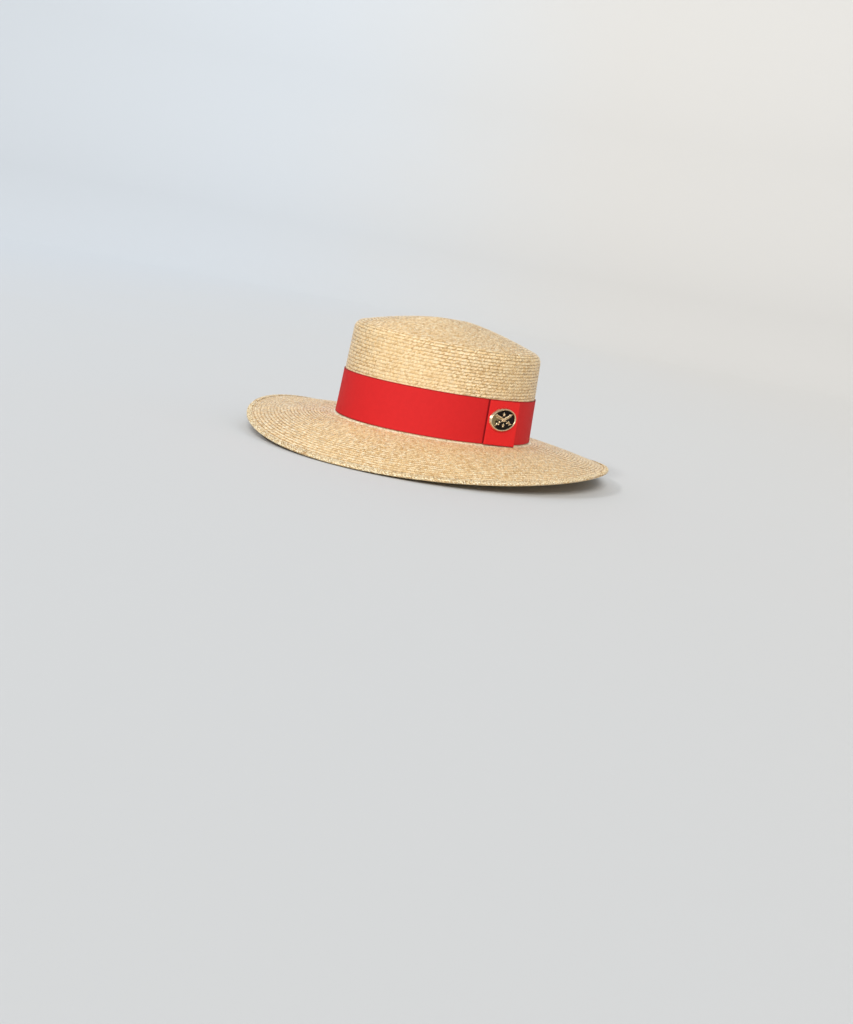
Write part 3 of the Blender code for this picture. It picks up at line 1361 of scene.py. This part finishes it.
@dataclass
class EdgePlait:
    """Coarser plait of flat strands, sewn on top of the brim along its rim.

    The strands turn back at the plait's sides, by roundness, and lie closer where they are
    pressed down over the rim.
    """

    surface: StrawSurface
    finish: StrawFinish
    width: float = 0.0054
    overhang: float = 0.0010
    rim_round: float = 0.0006
    pressed: float = 0.55
    strands: int = 5
    plaits: int = 84
    steps_a_plait: int = 14
    strand_half_width: float = 0.00078
    strand_half_thickness: float = 0.00042
    ride_height: float = 0.00052
    weave: float = 0.00042
    roundness: float = 0.35
    seed: int = 23
    sway: float = 0.00042
    sway_wave: float = 0.017
    sides: int = 6
    fibre_run: float = 0.0036
    fibre_shift: float = 400.0

    def build(self) -> bpy.types.Object:
        """The edge plait, one closed ring of each strand.

        Returns:
            The piece.
        """
        turn = np.linspace(0.0, math.tau, ROUND_POINTS)
        middle = self.surface.rim_reach - self.width / 2 + self.overhang
        line = self.surface.spots(turn, np.full_like(turn, middle), np.zeros_like(turn))
        steps = self.plaits * self.steps_a_plait
        turns, length = even_steps(line, turn, steps)
        sway = self.sway * ring_noise(np.random.default_rng(self.seed), length, self.sway_wave)
        around = np.linspace(0.0, math.tau, self.sides + 1)
        whole = bmesh.new()
        for strand in range(self.strands):
            phase = (np.arange(steps + 1) / self.steps_a_plait + strand / self.strands) % 1.0
            side = 1 - 4 * np.abs(phase - 0.5)
            side = np.sin(side * math.pi / 2) * self.roundness + side * (1 - self.roundness)
            reach = middle + side * (self.width / 2 - self.strand_half_width) + sway
            lift = self.ride_height + self.weave * self._over_under(phase)
            points = self._over_rim(
                turns, reach[:, None] + self.strand_half_width * np.cos(around),
                lift[:, None] + self.strand_half_thickness * np.sin(around))
            points[-1] = points[0]
            tube = grid_bmesh(points, length / self.fibre_run + strand * self.fibre_shift,
                              around / math.tau * 2)
            face_outward(tube)
            mesh = bpy.data.meshes.new("strand")
            tube.to_mesh(mesh)
            tube.free()
            whole.from_mesh(mesh)
            bpy.data.meshes.remove(mesh)
        made = add_piece("brim_edge_plait", whole, self.finish.material())
        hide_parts("brim_edge_braid")
        return made

    def _over_rim(self, turns: np.ndarray, reach: np.ndarray, lift: np.ndarray) -> np.ndarray:
        """Points of a strand, which follow the rounded rim where they lie beyond it.

        Args:
            turns: Turn of each ring of points.
            reach: Reach of each point, as if the brim went on.
            lift: Lift of each point off the straw.

        Returns:
            The points.
        """
        start = self.surface.rim_reach - self.rim_round
        level = np.full_like(turns, start)
        flat = np.zeros_like(turns)
        base = self.surface.spots(turns, level, flat)
        up = (self.surface.spots(turns, level, flat + PROBE) - base) / PROBE
        out = (base - self.surface.spots(turns, level - PROBE, flat)) / PROBE
        beyond = np.maximum(reach - start, 0.0)
        angle = np.minimum(beyond / self.rim_round, math.pi / 2)
        down = beyond - angle * self.rim_round
        radius = self.rim_round + lift * (1 - self.pressed * np.sin(angle))
        rise = radius * np.cos(angle) - self.rim_round - down
        over = (base[:, None] + out[:, None] * (radius * np.sin(angle))[..., None]
                + up[:, None] * rise[..., None])
        inside = self.surface.spots(turns[:, None], np.minimum(reach, start), lift)
        return np.where((beyond > 0)[..., None], over, inside)

    def _over_under(self, phase: np.ndarray) -> np.ndarray:
        """Height of a strand, which goes over and under the others at its crossings.

        Args:
            phase: Shares of a plait.

        Returns:
            Heights from -1 to 1.
        """
        crossings = range(2 * self.strands + 1)
        marks = np.array(crossings) / (2 * self.strands)
        knots = np.array([0.0 if k % self.strands == 0 else (-1.0) ** k * (
            1 if k < self.strands else -1) for k in crossings])
        return np.interp(phase, marks, knots)


# Ribbon


@dataclass
class RibbonTrim:
    """Red ribbon round the crown, with an upright loop over its join.

    Painted shadow darkens the band between shadow_start and shadow_end, beside and under the
    loop's left edge, and painted shade darkens the loop's left fold, fading out over loop_edge.
    These spans are distances from the loop's left edge, less than 0 outside it. The span ladder
    is distances from the loop's middle.
    """

    surface: StrawSurface
    finish: RibbonFinish
    # The loop's finish, a brighter copy of the band's, which paints light onto the loop.
    lit_loop_finish: RibbonFinish
    foot: float
    width: float
    cloth: float = 0.00045
    band_lift: float = 0.00100
    press: float = 0.00012
    curl: float = 0.00010
    seed: int = 5
    ease: float = 0.00010
    ease_wave: float = 0.045
    rib: float = 0.0009
    columns: int = 420
    rows: int = 12
    loop_turn: float = math.radians(-4.8)
    loop_width: float = 0.0385
    loop_back: float = 0.0016
    loop_left: float = 0.0026
    loop_right: float = 0.0044
    loop_flatness: float = 0.0013
    loop_hang: float = 0.0012
    loop_slack: float = 0.00018
    loop_rows: int = 8
    right_points: int = 9
    front_points: int = 18
    left_points: int = 7
    back_points: int = 11
    join_overlap: float = 0.012
    shadow_start: Span = (-0.0012, -0.0002)
    shadow_end: Span = (0.0060, 0.0090)
    loop_edge: Span = (0.0, 0.0006)
    ladder: Span = (-0.05, 0.09)
    ladder_points: int = 141

    def band(self) -> bpy.types.Object:
        """The band, a closed ring of thin cloth that lies a little unevenly.

        Returns:
            The piece.
        """
        turn = np.linspace(0.0, math.tau, ROUND_POINTS)
        line = self.surface.wall_spots(turn, np.full_like(turn, self.foot), self.band_lift)
        turns, length = even_steps(line, turn, self.columns)
        rng = np.random.default_rng(self.seed)
        low_ease, high_ease, edge_ease = (
            self.ease * ring_noise(rng, length, self.ease_wave) for _ in range(3))
        face = []
        for share in np.linspace(0.0, 1.0, self.rows + 1):
            uneven = low_ease * (1 - share) + high_ease * share - self.press
            face.append((share, self.band_lift + uneven + self.curl * (2 * share - 1) ** 4))
        back = [(share, lift - self.cloth) for share, lift in reversed(face)]
        section = face + back + face[:1]
        points = np.stack([self.surface.wall_spots(
            turns, self.foot + self.width * share + edge_ease, lift)
            for share, lift in section], 1)
        points[-1] = points[0]
        bm = grid_bmesh(points, length / self.rib, np.array([share for share, _ in section]))
        face_outward(bm)
        made = add_piece("red_ribbon_band", bm, self.finish.material())
        # Painted shadow on the band beside the loop's left edge, fading out under the loop.
        paint(made, EDGE_SHADE, lambda places: self._past_edge(places, self.shadow_start)
              * (1 - self._past_edge(places, self.shadow_end)))
        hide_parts("ribbon_band")
        return made

    def front_lift(self, along: np.ndarray) -> np.ndarray:
        """Lift of the loop's front, which is stiff, so its middle lies closer to the wall.

        Args:
            along: Distances along the wall from the loop's middle.

        Returns:
            The lifts.
        """
        share = np.clip(np.asarray(along) / self.loop_width + 0.5, 0.0, 1.0)
        return (self.loop_left + (self.loop_right - self.loop_left) * share
                - self.loop_flatness * 4 * share * (1 - share))

    def _loop_section(self) -> np.ndarray:
        """Closed section of the loop: its right fold, front, left fold and back.

        Returns:
            Rows of the distance along the wall from the loop's middle, and the lift.
        """
        half = self.loop_width / 2
        right = (self.loop_right - self.loop_back) / 2
        left = (self.loop_left - self.loop_back) / 2
        path = [(half - right + right * math.cos(a), self.loop_back + right + right * math.sin(a))
                for a in np.linspace(-math.pi / 2, math.pi / 2, self.right_points)]
        for t in np.linspace(0.0, 1.0, self.front_points + 2)[1:-1]:
            along = (half - right) * (1 - t) + (left - half) * t
            path.append((along, float(self.front_lift(along))))
        path += [(left - half + left * math.cos(a), self.loop_back + left + left * math.sin(a))
                 for a in np.linspace(math.pi / 2, math.pi * 3 / 2, self.left_points)]
        path += [((left - half) * (1 - t) + (half - right) * t, self.loop_back)
                 for t in np.linspace(0.0, 1.0, self.back_points + 1)[1:]]
        return np.array(path)

    def loop(self) -> bpy.types.Object:
        """The loop: a closed turn of ribbon pressed flat, fuller at its folded right side.

        Returns:
            The piece.
        """
        section = self._loop_section()
        along, lift = section.T
        run = run_along(section)
        turns = self.surface.walk(self.loop_turn, along)
        foot = self.foot - self.loop_hang * (along / self.loop_width + 0.5)
        top = self.foot + self.width
        in_front = lift > self.loop_back + self.surface.shape.gap
        shares = np.linspace(0.0, 1.0, self.loop_rows + 1)
        points = np.stack([self.surface.wall_spots(
            turns, foot + (top - foot) * share, lift + in_front * self.loop_slack * np.sin(
                math.pi * share + along / self.loop_width * 2)) for share in shares], 1)
        points[-1] = points[0]
        bm = grid_bmesh(points, run / self.rib, shares)
        bmesh.ops.recalc_face_normals(bm, faces=bm.faces)
        outer = max(bm.faces, key=lambda face: face.calc_center_median().x)
        if outer.normal.x < 0:
            bmesh.ops.reverse_faces(bm, faces=bm.faces)
        bmesh.ops.solidify(bm, geom=bm.faces[:], thickness=self.cloth)
        bmesh.ops.recalc_face_normals(bm, faces=bm.faces)
        made = add_piece("red_ribbon_loop", bm, self.lit_loop_finish.material())
        # Painted shade along the loop's left fold.
        paint(made, EDGE_SHADE, lambda places: 1 - self._past_edge(places, self.loop_edge))
        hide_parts("ribbon_loop")
        return made

    def _past_edge(self, points: np.ndarray, span: Span) -> np.ndarray:
        """How far places lie across a span beside the loop's left edge.

        Args:
            points: Places on the ribbon.
            span: Where the share is 0, and where it is 1.

        Returns:
            Shares from 0 to 1.
        """
        shape = self.surface.shape
        turn = np.arctan2(points[:, 1] / shape.half_length, points[:, 0] / shape.half_width)
        ladder = np.linspace(*self.ladder, self.ladder_points)
        along = np.interp(turn, self.surface.walk(self.loop_turn, ladder), ladder,
                          left=-1.0, right=1.0) + self.loop_width / 2
        return np.clip((along - span[0]) / (span[1] - span[0]), 0.0, 1.0)


# Badge


@dataclass
class Badge:
    """Oval metal badge with a raised rim, and crossed wheat on a darker field.

    Its place is the field's middle, along and up from the middle of the loop's front. On the
    badge itself, a place is given as right, up and out.
    """

    surface: StrawSurface
    trim: RibbonTrim
    plate_finish: MetalFinish
    field_finish: MetalFinish
    width: float = 0.0320
    height: float = 0.0210
    thickness: float = 0.0020
    segments: int = 96
    slant: float = 0.0008
    rim: float = 0.0009
    rim_slope: float = 0.25
    rim_bevel: float = 0.32
    bevel_steps: int = 3
    field_depth: float = 0.0008
    field_crown: float = 0.0005
    field_rings: tuple[float, ...] = (0.85, 0.82, 0.76, 0.66, 0.5)
    ring_inset: float = 0.02
    field_level: float = 0.2
    dark_start: float = 0.12
    dark_width: float = 0.34
    along: float = -0.0016
    up: float = 0.0030
    tilt: float = math.radians(5.0)
    grain: float = 0.0026
    grain_width: float = 0.21
    grain_depth: float = 0.22
    ear_length: float = 0.0205
    ear_angle: float = math.radians(24.0)
    ear_end: float = 0.92
    ear_pairs: int = 6
    pair_offset: float = 0.00074
    pair_angle: float = math.radians(26.0)
    stalk_share: float = 0.46
    stalk_grains: int = 9
    stalk_grain: float = 0.6
    leaves: tuple[tuple[float, int], ...] = ((0.08, 1), (0.16, -1), (0.24, 1))
    leaf_offset: float = 0.00086
    leaf_angle: float = math.radians(34.0)
    petals: int = 5
    flower_up: float = 0.0048
    flower_size: float = 0.0019
    spray_crisp: float = 60.0

    def _on_loop(self, flat: np.ndarray) -> np.ndarray:
        """Put places of the badge on the loop's front.

        Args:
            flat: Rows of right, up and out.

        Returns:
            The places on the hat.
        """
        right, up, out = flat.T
        along = self.along + right * math.cos(self.tilt) - up * math.sin(self.tilt)
        height = (self.trim.foot + self.trim.width / 2 + self.up
                  + right * math.sin(self.tilt) + up * math.cos(self.tilt))
        lift = self.trim.front_lift(along) + self.surface.shape.gap + out
        return self.surface.wall_spots(
            self.surface.walk(self.trim.loop_turn, along), height, lift)

    def _field_share(self, spot: Vector) -> float:
        """How far from the field's middle a place of the badge is.

        Args:
            spot: Right, up and out.

        Returns:
            0 in the middle and 1 at the foot of the rim.
        """
        border = self.slant + self.rim * (1 + self.rim_slope)
        return math.hypot(spot.x / (self.width / 2 - border),
                          spot.y / (self.height / 2 - border))

    def plate(self) -> bpy.types.Object:
        """The badge's plate: a flat back, a rounded rim and a slightly domed field.

        Returns:
            The piece.
        """
        bm = bmesh.new()
        bmesh.ops.create_circle(bm, cap_ends=True, segments=self.segments, radius=0.5)
        bmesh.ops.scale(bm, vec=(self.width, self.height, 1.0), verts=bm.verts)
        raised = bmesh.ops.extrude_face_region(bm, geom=bm.faces[:])["geom"]
        top_verts = [item for item in raised if isinstance(item, bmesh.types.BMVert)]
        top = [item for item in raised if isinstance(item, bmesh.types.BMFace)]
        bmesh.ops.translate(bm, vec=(0.0, 0.0, self.thickness), verts=top_verts)
        bmesh.ops.scale(bm, vec=(1 - 2 * self.slant / self.width,
                                 1 - 2 * self.slant / self.height, 1.0), verts=top_verts)
        outer = top[0].edges[:]
        bmesh.ops.inset_region(bm, faces=top, thickness=self.rim, depth=0.0,
                               use_even_offset=True)
        inner = top[0].edges[:]
        bmesh.ops.inset_region(bm, faces=top, thickness=self.rim * self.rim_slope,
                               depth=-self.field_depth, use_even_offset=True)
        for shrink in self.field_rings:
            bmesh.ops.inset_region(bm, faces=top, thickness=self.rim * self.ring_inset,
                                   depth=0.0, use_even_offset=True)
            bmesh.ops.scale(bm, vec=(shrink, shrink, 1.0), verts=top[0].verts)
        bmesh.ops.poke(bm, faces=top)
        for vert in bm.verts:
            share = self._field_share(vert.co)
            if share < 1.0 and vert.co.z > self.thickness / 4:
                vert.co.z += self.field_crown * (1 - share * share)
        bmesh.ops.bevel(bm, geom=outer + inner, offset=self.rim * self.rim_bevel,
                        offset_type="OFFSET", segments=self.bevel_steps, profile=0.5,
                        affect="EDGES", material=-1)
        bmesh.ops.recalc_face_normals(bm, faces=bm.faces)
        for face in bm.faces:
            in_field = (self._field_share(face.calc_center_median()) < 1.0
                        and face.normal.z > self.field_level)
            face.material_index = 1 if in_field else 0
        move_points(bm, self._on_loop)
        made = add_piece("badge_plate", bm, self.plate_finish.material())
        made.data.materials.append(self.field_finish.material())
        paint(made, PATINA, self._to_the_right)
        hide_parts("metal_badge")
        return made

    def _to_the_right(self, points: np.ndarray) -> np.ndarray:
        """How dark the field has become.

        Args:
            points: Places on the badge.

        Returns:
            Shares from 0 on its left to 1 about its middle and on.
        """
        left, right = self._on_loop(np.array([(-self.width / 2, 0.0, 0.0),
                                              (self.width / 2, 0.0, 0.0)]))
        across = (right - left) / np.dot(right - left, right - left)
        return np.clip(((points - left) @ across - self.dark_start) / self.dark_width, 0.0, 1.0)

    def _grain(self, bm: bmesh.types.BMesh, at: Sequence[float], angle: float,
               size: float) -> None:
        """Add one plump grain that lies half sunk in the field.

        Args:
            bm: What it is added to.
            at: Right and up of its middle.
            angle: Direction of its length.
            size: Its length.
        """
        share = math.hypot(at[0] / (self.width / 2), at[1] / (self.height / 2))
        out = (self.thickness - self.field_depth
               + self.field_crown * max(0.0, 1 - share * share))
        place = (Matrix.Translation((at[0], at[1], out))
                 @ Matrix.Rotation(angle, 4, "Z")
                 @ Matrix.Diagonal((size / 2, size * self.grain_width,
                                    size * self.grain_depth, 1.0)))
        bmesh.ops.create_icosphere(bm, subdivisions=2, radius=1.0, matrix=place)

    def _ear(self, bm: bmesh.types.BMesh, foot: tuple[float, float], angle: float) -> None:
        """Add an ear of wheat: pairs of grains, one at the tip, and a leafy stalk below.

        Args:
            bm: What it is added to.
            foot: Right and up of the stalk's foot.
            angle: Direction from there to the tip.
        """
        along = np.array((math.cos(angle), math.sin(angle)))
        across = np.array((-along[1], along[0]))
        for share in np.linspace(self.stalk_share, self.ear_end, self.ear_pairs):
            for side in (-1, 1):
                at = foot + along * self.ear_length * share + across * side * self.pair_offset
                self._grain(bm, at, angle + side * self.pair_angle, self.grain)
        self._grain(bm, foot + along * self.ear_length, angle, self.grain)
        for share in np.linspace(0.0, self.stalk_share, self.stalk_grains):
            self._grain(bm, foot + along * self.ear_length * share, angle,
                        self.grain * self.stalk_grain)
        for share, side in self.leaves:
            at = foot + along * self.ear_length * share + across * side * self.leaf_offset
            self._grain(bm, at, angle + side * self.leaf_angle, self.grain)

    def spray(self) -> bpy.types.Object:
        """Two crossed ears of wheat, with a small flower above and below them.

        Returns:
            The piece.
        """
        bm = bmesh.new()
        for side in (-1, 1):
            foot = (-side * self.ear_length / 2 * math.cos(self.ear_angle),
                    -self.ear_length / 2 * math.sin(self.ear_angle))
            self._ear(bm, foot, math.pi / 2 - side * (math.pi / 2 - self.ear_angle))
        for up in (self.flower_up, -self.flower_up):
            for turn in np.linspace(0.0, math.tau, self.petals + 1)[:-1] + math.pi / 2:
                at = (self.flower_size / 2 * math.cos(turn),
                      up + self.flower_size / 2 * math.sin(turn))
                self._grain(bm, at, turn, self.flower_size)
        self._grain(bm, (0.0, 0.0), 0.0, self.grain)
        move_points(bm, self._on_loop)
        bmesh.ops.recalc_face_normals(bm, faces=bm.faces)
        return add_piece("badge_wheat_spray", bm, self.plate_finish.material(),
                         self.spray_crisp)


# Camera, backdrop and lights


@dataclass(frozen=True)
class Viewpoint:
    """The camera's place, from the hat's junction of crown and brim.

    The aim is the image point, from its top left, at which that junction's middle lies.
    """

    azimuth: float = math.radians(40.0)
    elevation: float = math.radians(6.86)
    roll: float = math.radians(10.745)
    distance: float = 1.0
    focal: float = 1062.66
    aim: tuple[float, float] = (433.78, 426.195)
    image: tuple[float, float] = (853.0, 1024.0)
    sensor: float = 36.0
    nearest: float = 0.02
    farthest: float = 60.0

    def axes(self) -> tuple[Vector, Vector, Vector]:
        """Work out the view's directions, before its roll and its turn towards the aim.

        Returns:
            Its right, up and back.
        """
        back = Vector((math.sin(self.azimuth) * math.cos(self.elevation),
                       -math.cos(self.azimuth) * math.cos(self.elevation),
                       math.sin(self.elevation)))
        right = Vector((math.cos(self.azimuth), math.sin(self.azimuth), 0.0))
        return right, back.cross(right), back

    def camera(self, junction: Vector) -> bpy.types.Object:
        """Make the scene's camera.

        Args:
            junction: Middle of the junction of crown and brim.

        Returns:
            The camera.
        """
        right, up, back = self.axes()
        rolled_right = math.cos(self.roll) * right + math.sin(self.roll) * up
        rolled_up = -math.sin(self.roll) * right + math.cos(self.roll) * up
        ray = Vector(((self.aim[0] - self.image[0] / 2) / self.focal,
                      (self.image[1] / 2 - self.aim[1]) / self.focal, -1.0)).normalized()
        turned = Vector((0.0, 0.0, -1.0)).rotation_difference(ray).to_matrix()
        world_to_view = turned @ Matrix((rolled_right, rolled_up, back))
        data = bpy.data.cameras.new("camera")
        data.sensor_width = self.sensor
        data.lens = self.focal / max(self.image) * self.sensor
        data.clip_start, data.clip_end = self.nearest, self.farthest
        camera = bpy.data.objects.new("camera", data)
        bpy.context.scene.collection.objects.link(camera)
        place = world_to_view.transposed().to_4x4()
        place.translation = junction + back * self.distance
        camera.matrix_world = place
        bpy.context.scene.camera = camera
        return camera


@dataclass(frozen=True)
class Lamp:
    """One soft studio light.

    Its direction is from the hat, as shares of the view's right, up and back.
    """

    name: str
    direction: tuple[float, float, float]
    power: float
    softness: float
    colour: tuple[float, float, float]


@dataclass
class Studio:
    """Pale seamless floor that bends up all round, and soft light.

    The sky has one strength as a light, and another where the camera sees it.
    """

    view: Viewpoint
    finish: StageFinish
    inner_ring: float = 1.65
    flat: float = 5.5
    bend: float = 3.5
    bend_points: int = 24
    sides: int = 96
    merge: float = 0.0001
    sky_colour: Colour = (0.93, 0.96, 1.0, 1.0)
    sky: float = 0.455
    seen_sky: float = 0.66
    lamp_distance: float = 3.0
    lamps: tuple[Lamp, ...] = (
        Lamp("key_light", (-0.05, 0.46, 0.95), 2.40, 24.0, (1.0, 0.975, 0.945)),
        Lamp("sparkle_light", (-0.75, 0.60, 0.75), 0.75, 5.0, (0.98, 0.98, 1.0)),
        Lamp("fill_light", (0.85, 0.30, 0.60), 0.22, 70.0, (1.0, 0.90, 0.74)),
        Lamp("back_light", (-0.20, 0.60, -0.90), 0.5, 60.0, (1.0, 0.99, 0.98)),
    )

    def backdrop(self, floor: float) -> bpy.types.Object:
        """Round floor that bends up at its border.

        Args:
            floor: Height of the floor.

        Returns:
            The backdrop.
        """
        bm = bmesh.new()
        profile = [(0.0, 0.0), (self.inner_ring, 0.0), (self.flat, 0.0)]
        profile += [(self.flat + self.bend * math.sin(a), self.bend * (1 - math.cos(a)))
                    for a in np.linspace(0.0, math.pi / 2, self.bend_points + 1)[1:]]
        verts = [bm.verts.new((radius, 0.0, height)) for radius, height in profile]
        edges = [bm.edges.new(pair) for pair in zip(verts, verts[1:])]
        bmesh.ops.spin(bm, geom=verts + edges, cent=(0, 0, 0), axis=(0, 0, 1),
                       angle=math.tau, steps=self.sides, use_merge=True,
                       use_duplicate=False)
        bmesh.ops.remove_doubles(bm, verts=bm.verts, dist=self.merge)
        bmesh.ops.recalc_face_normals(bm, faces=bm.faces)
        lowest = min(bm.faces, key=lambda face: face.calc_center_median().length)
        if lowest.normal.z < 0:
            bmesh.ops.reverse_faces(bm, faces=bm.faces)
        bmesh.ops.translate(bm, vec=(0.0, 0.0, floor), verts=bm.verts)
        mesh = bpy.data.meshes.new("backdrop")
        bm.to_mesh(mesh)
        bm.free()
        mesh.materials.append(self.finish.material())
        mesh.shade_smooth()
        stage = bpy.data.objects.new("backdrop", mesh)
        bpy.context.scene.collection.objects.link(stage)
        stage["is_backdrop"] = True
        return stage

    def light(self) -> None:
        """Add the lamps and the sky."""
        right, up, back = self.view.axes()
        for lamp in self.lamps:
            data = bpy.data.lights.new(lamp.name, "SUN")
            data.energy = lamp.power
            data.angle = math.radians(lamp.softness)
            data.color = lamp.colour
            light = bpy.data.objects.new(lamp.name, data)
            bpy.context.scene.collection.objects.link(light)
            x, y, z = lamp.direction
            towards = (right * x + up * y + back * z).normalized()
            light.matrix_world = (Matrix.Translation(towards * self.lamp_distance)
                                  @ towards.to_track_quat("Z", "Y").to_matrix().to_4x4())
        world = bpy.data.worlds.new("sky")
        bpy.context.scene.world = world
        world.use_nodes = True
        sky = world.node_tree.nodes["Background"]
        sky.inputs["Color"].default_value = self.sky_colour
        seen = world.node_tree.nodes.new("ShaderNodeLightPath").outputs["Is Camera Ray"]
        level = world.node_tree.nodes.new("ShaderNodeMapRange")
        level.inputs["To Min"].default_value = self.sky
        level.inputs["To Max"].default_value = self.seen_sky
        world.node_tree.links.new(seen, level.inputs["Value"])
        world.node_tree.links.new(level.outputs["Result"], sky.inputs["Strength"])


EDGE_STRAW = StrawFinish(
    "edge_straw", dark=(0.46, 0.25, 0.075, 1.0), middle=(0.95, 0.76, 0.44, 1.0),
    light=(1.0, 0.92, 0.68, 1.0), seam_shade_depth=0.75, gap_depth=1.0, gloss=0.15)
# Painted light: a brighter copy of the ribbon's red for the loop, standing in for stronger light
# on its front.
LIT_LOOP_RIBBON = RibbonFinish(
    "red_ribbon_lit_copy", face=(0.760, 0.0205, 0.0200, 1.0), shade=(0.58, 0.012, 0.013, 1.0))
DARK_FIELD = MetalFinish(
    "dark_field", metal=(0.33, 0.25, 0.12, 1.0), patina=(0.018, 0.014, 0.012, 1.0),
    patina_share=1.0, smooth=0.20, rough=0.45, blotch=150.0, sharpness=0.16, start=0.80)


def main() -> None:
    """Build the hat round its frame, and its studio."""
    logging.basicConfig(level=logging.INFO, format="%(name)s: %(message)s")
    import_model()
    shape = HatShape()
    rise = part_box(StrawPart.CROWN.value)[0].z - shape.collar_height - shape.gap
    surface = StrawSurface(shape, rise)

    straw = SewnStraw(surface, StrawFinish("sewn_straw"))
    pieces = [straw.build(part) for part in StrawPart]
    pieces.append(EdgePlait(surface, EDGE_STRAW).build())
    trim = RibbonTrim(surface, RibbonFinish("red_ribbon"), LIT_LOOP_RIBBON, shape.ribbon_foot,
                      shape.ribbon_width)
    pieces += [trim.band(), trim.loop()]
    badge = Badge(surface, trim, MetalFinish("gold_plate"), DARK_FIELD)
    pieces += [badge.plate(), badge.spray()]
    for piece in pieces:
        LOG.info("%s: %d triangles", piece.name, triangles(piece))

    view = Viewpoint()
    studio = Studio(view, StageFinish("pale_backdrop"))
    studio.backdrop(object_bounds()[0].z)
    studio.light()
    view.camera(Vector((0.0, 0.0, rise)))
    bpy.context.scene.view_settings.view_transform = "Standard"


if __name__ == "__main__":
    main()
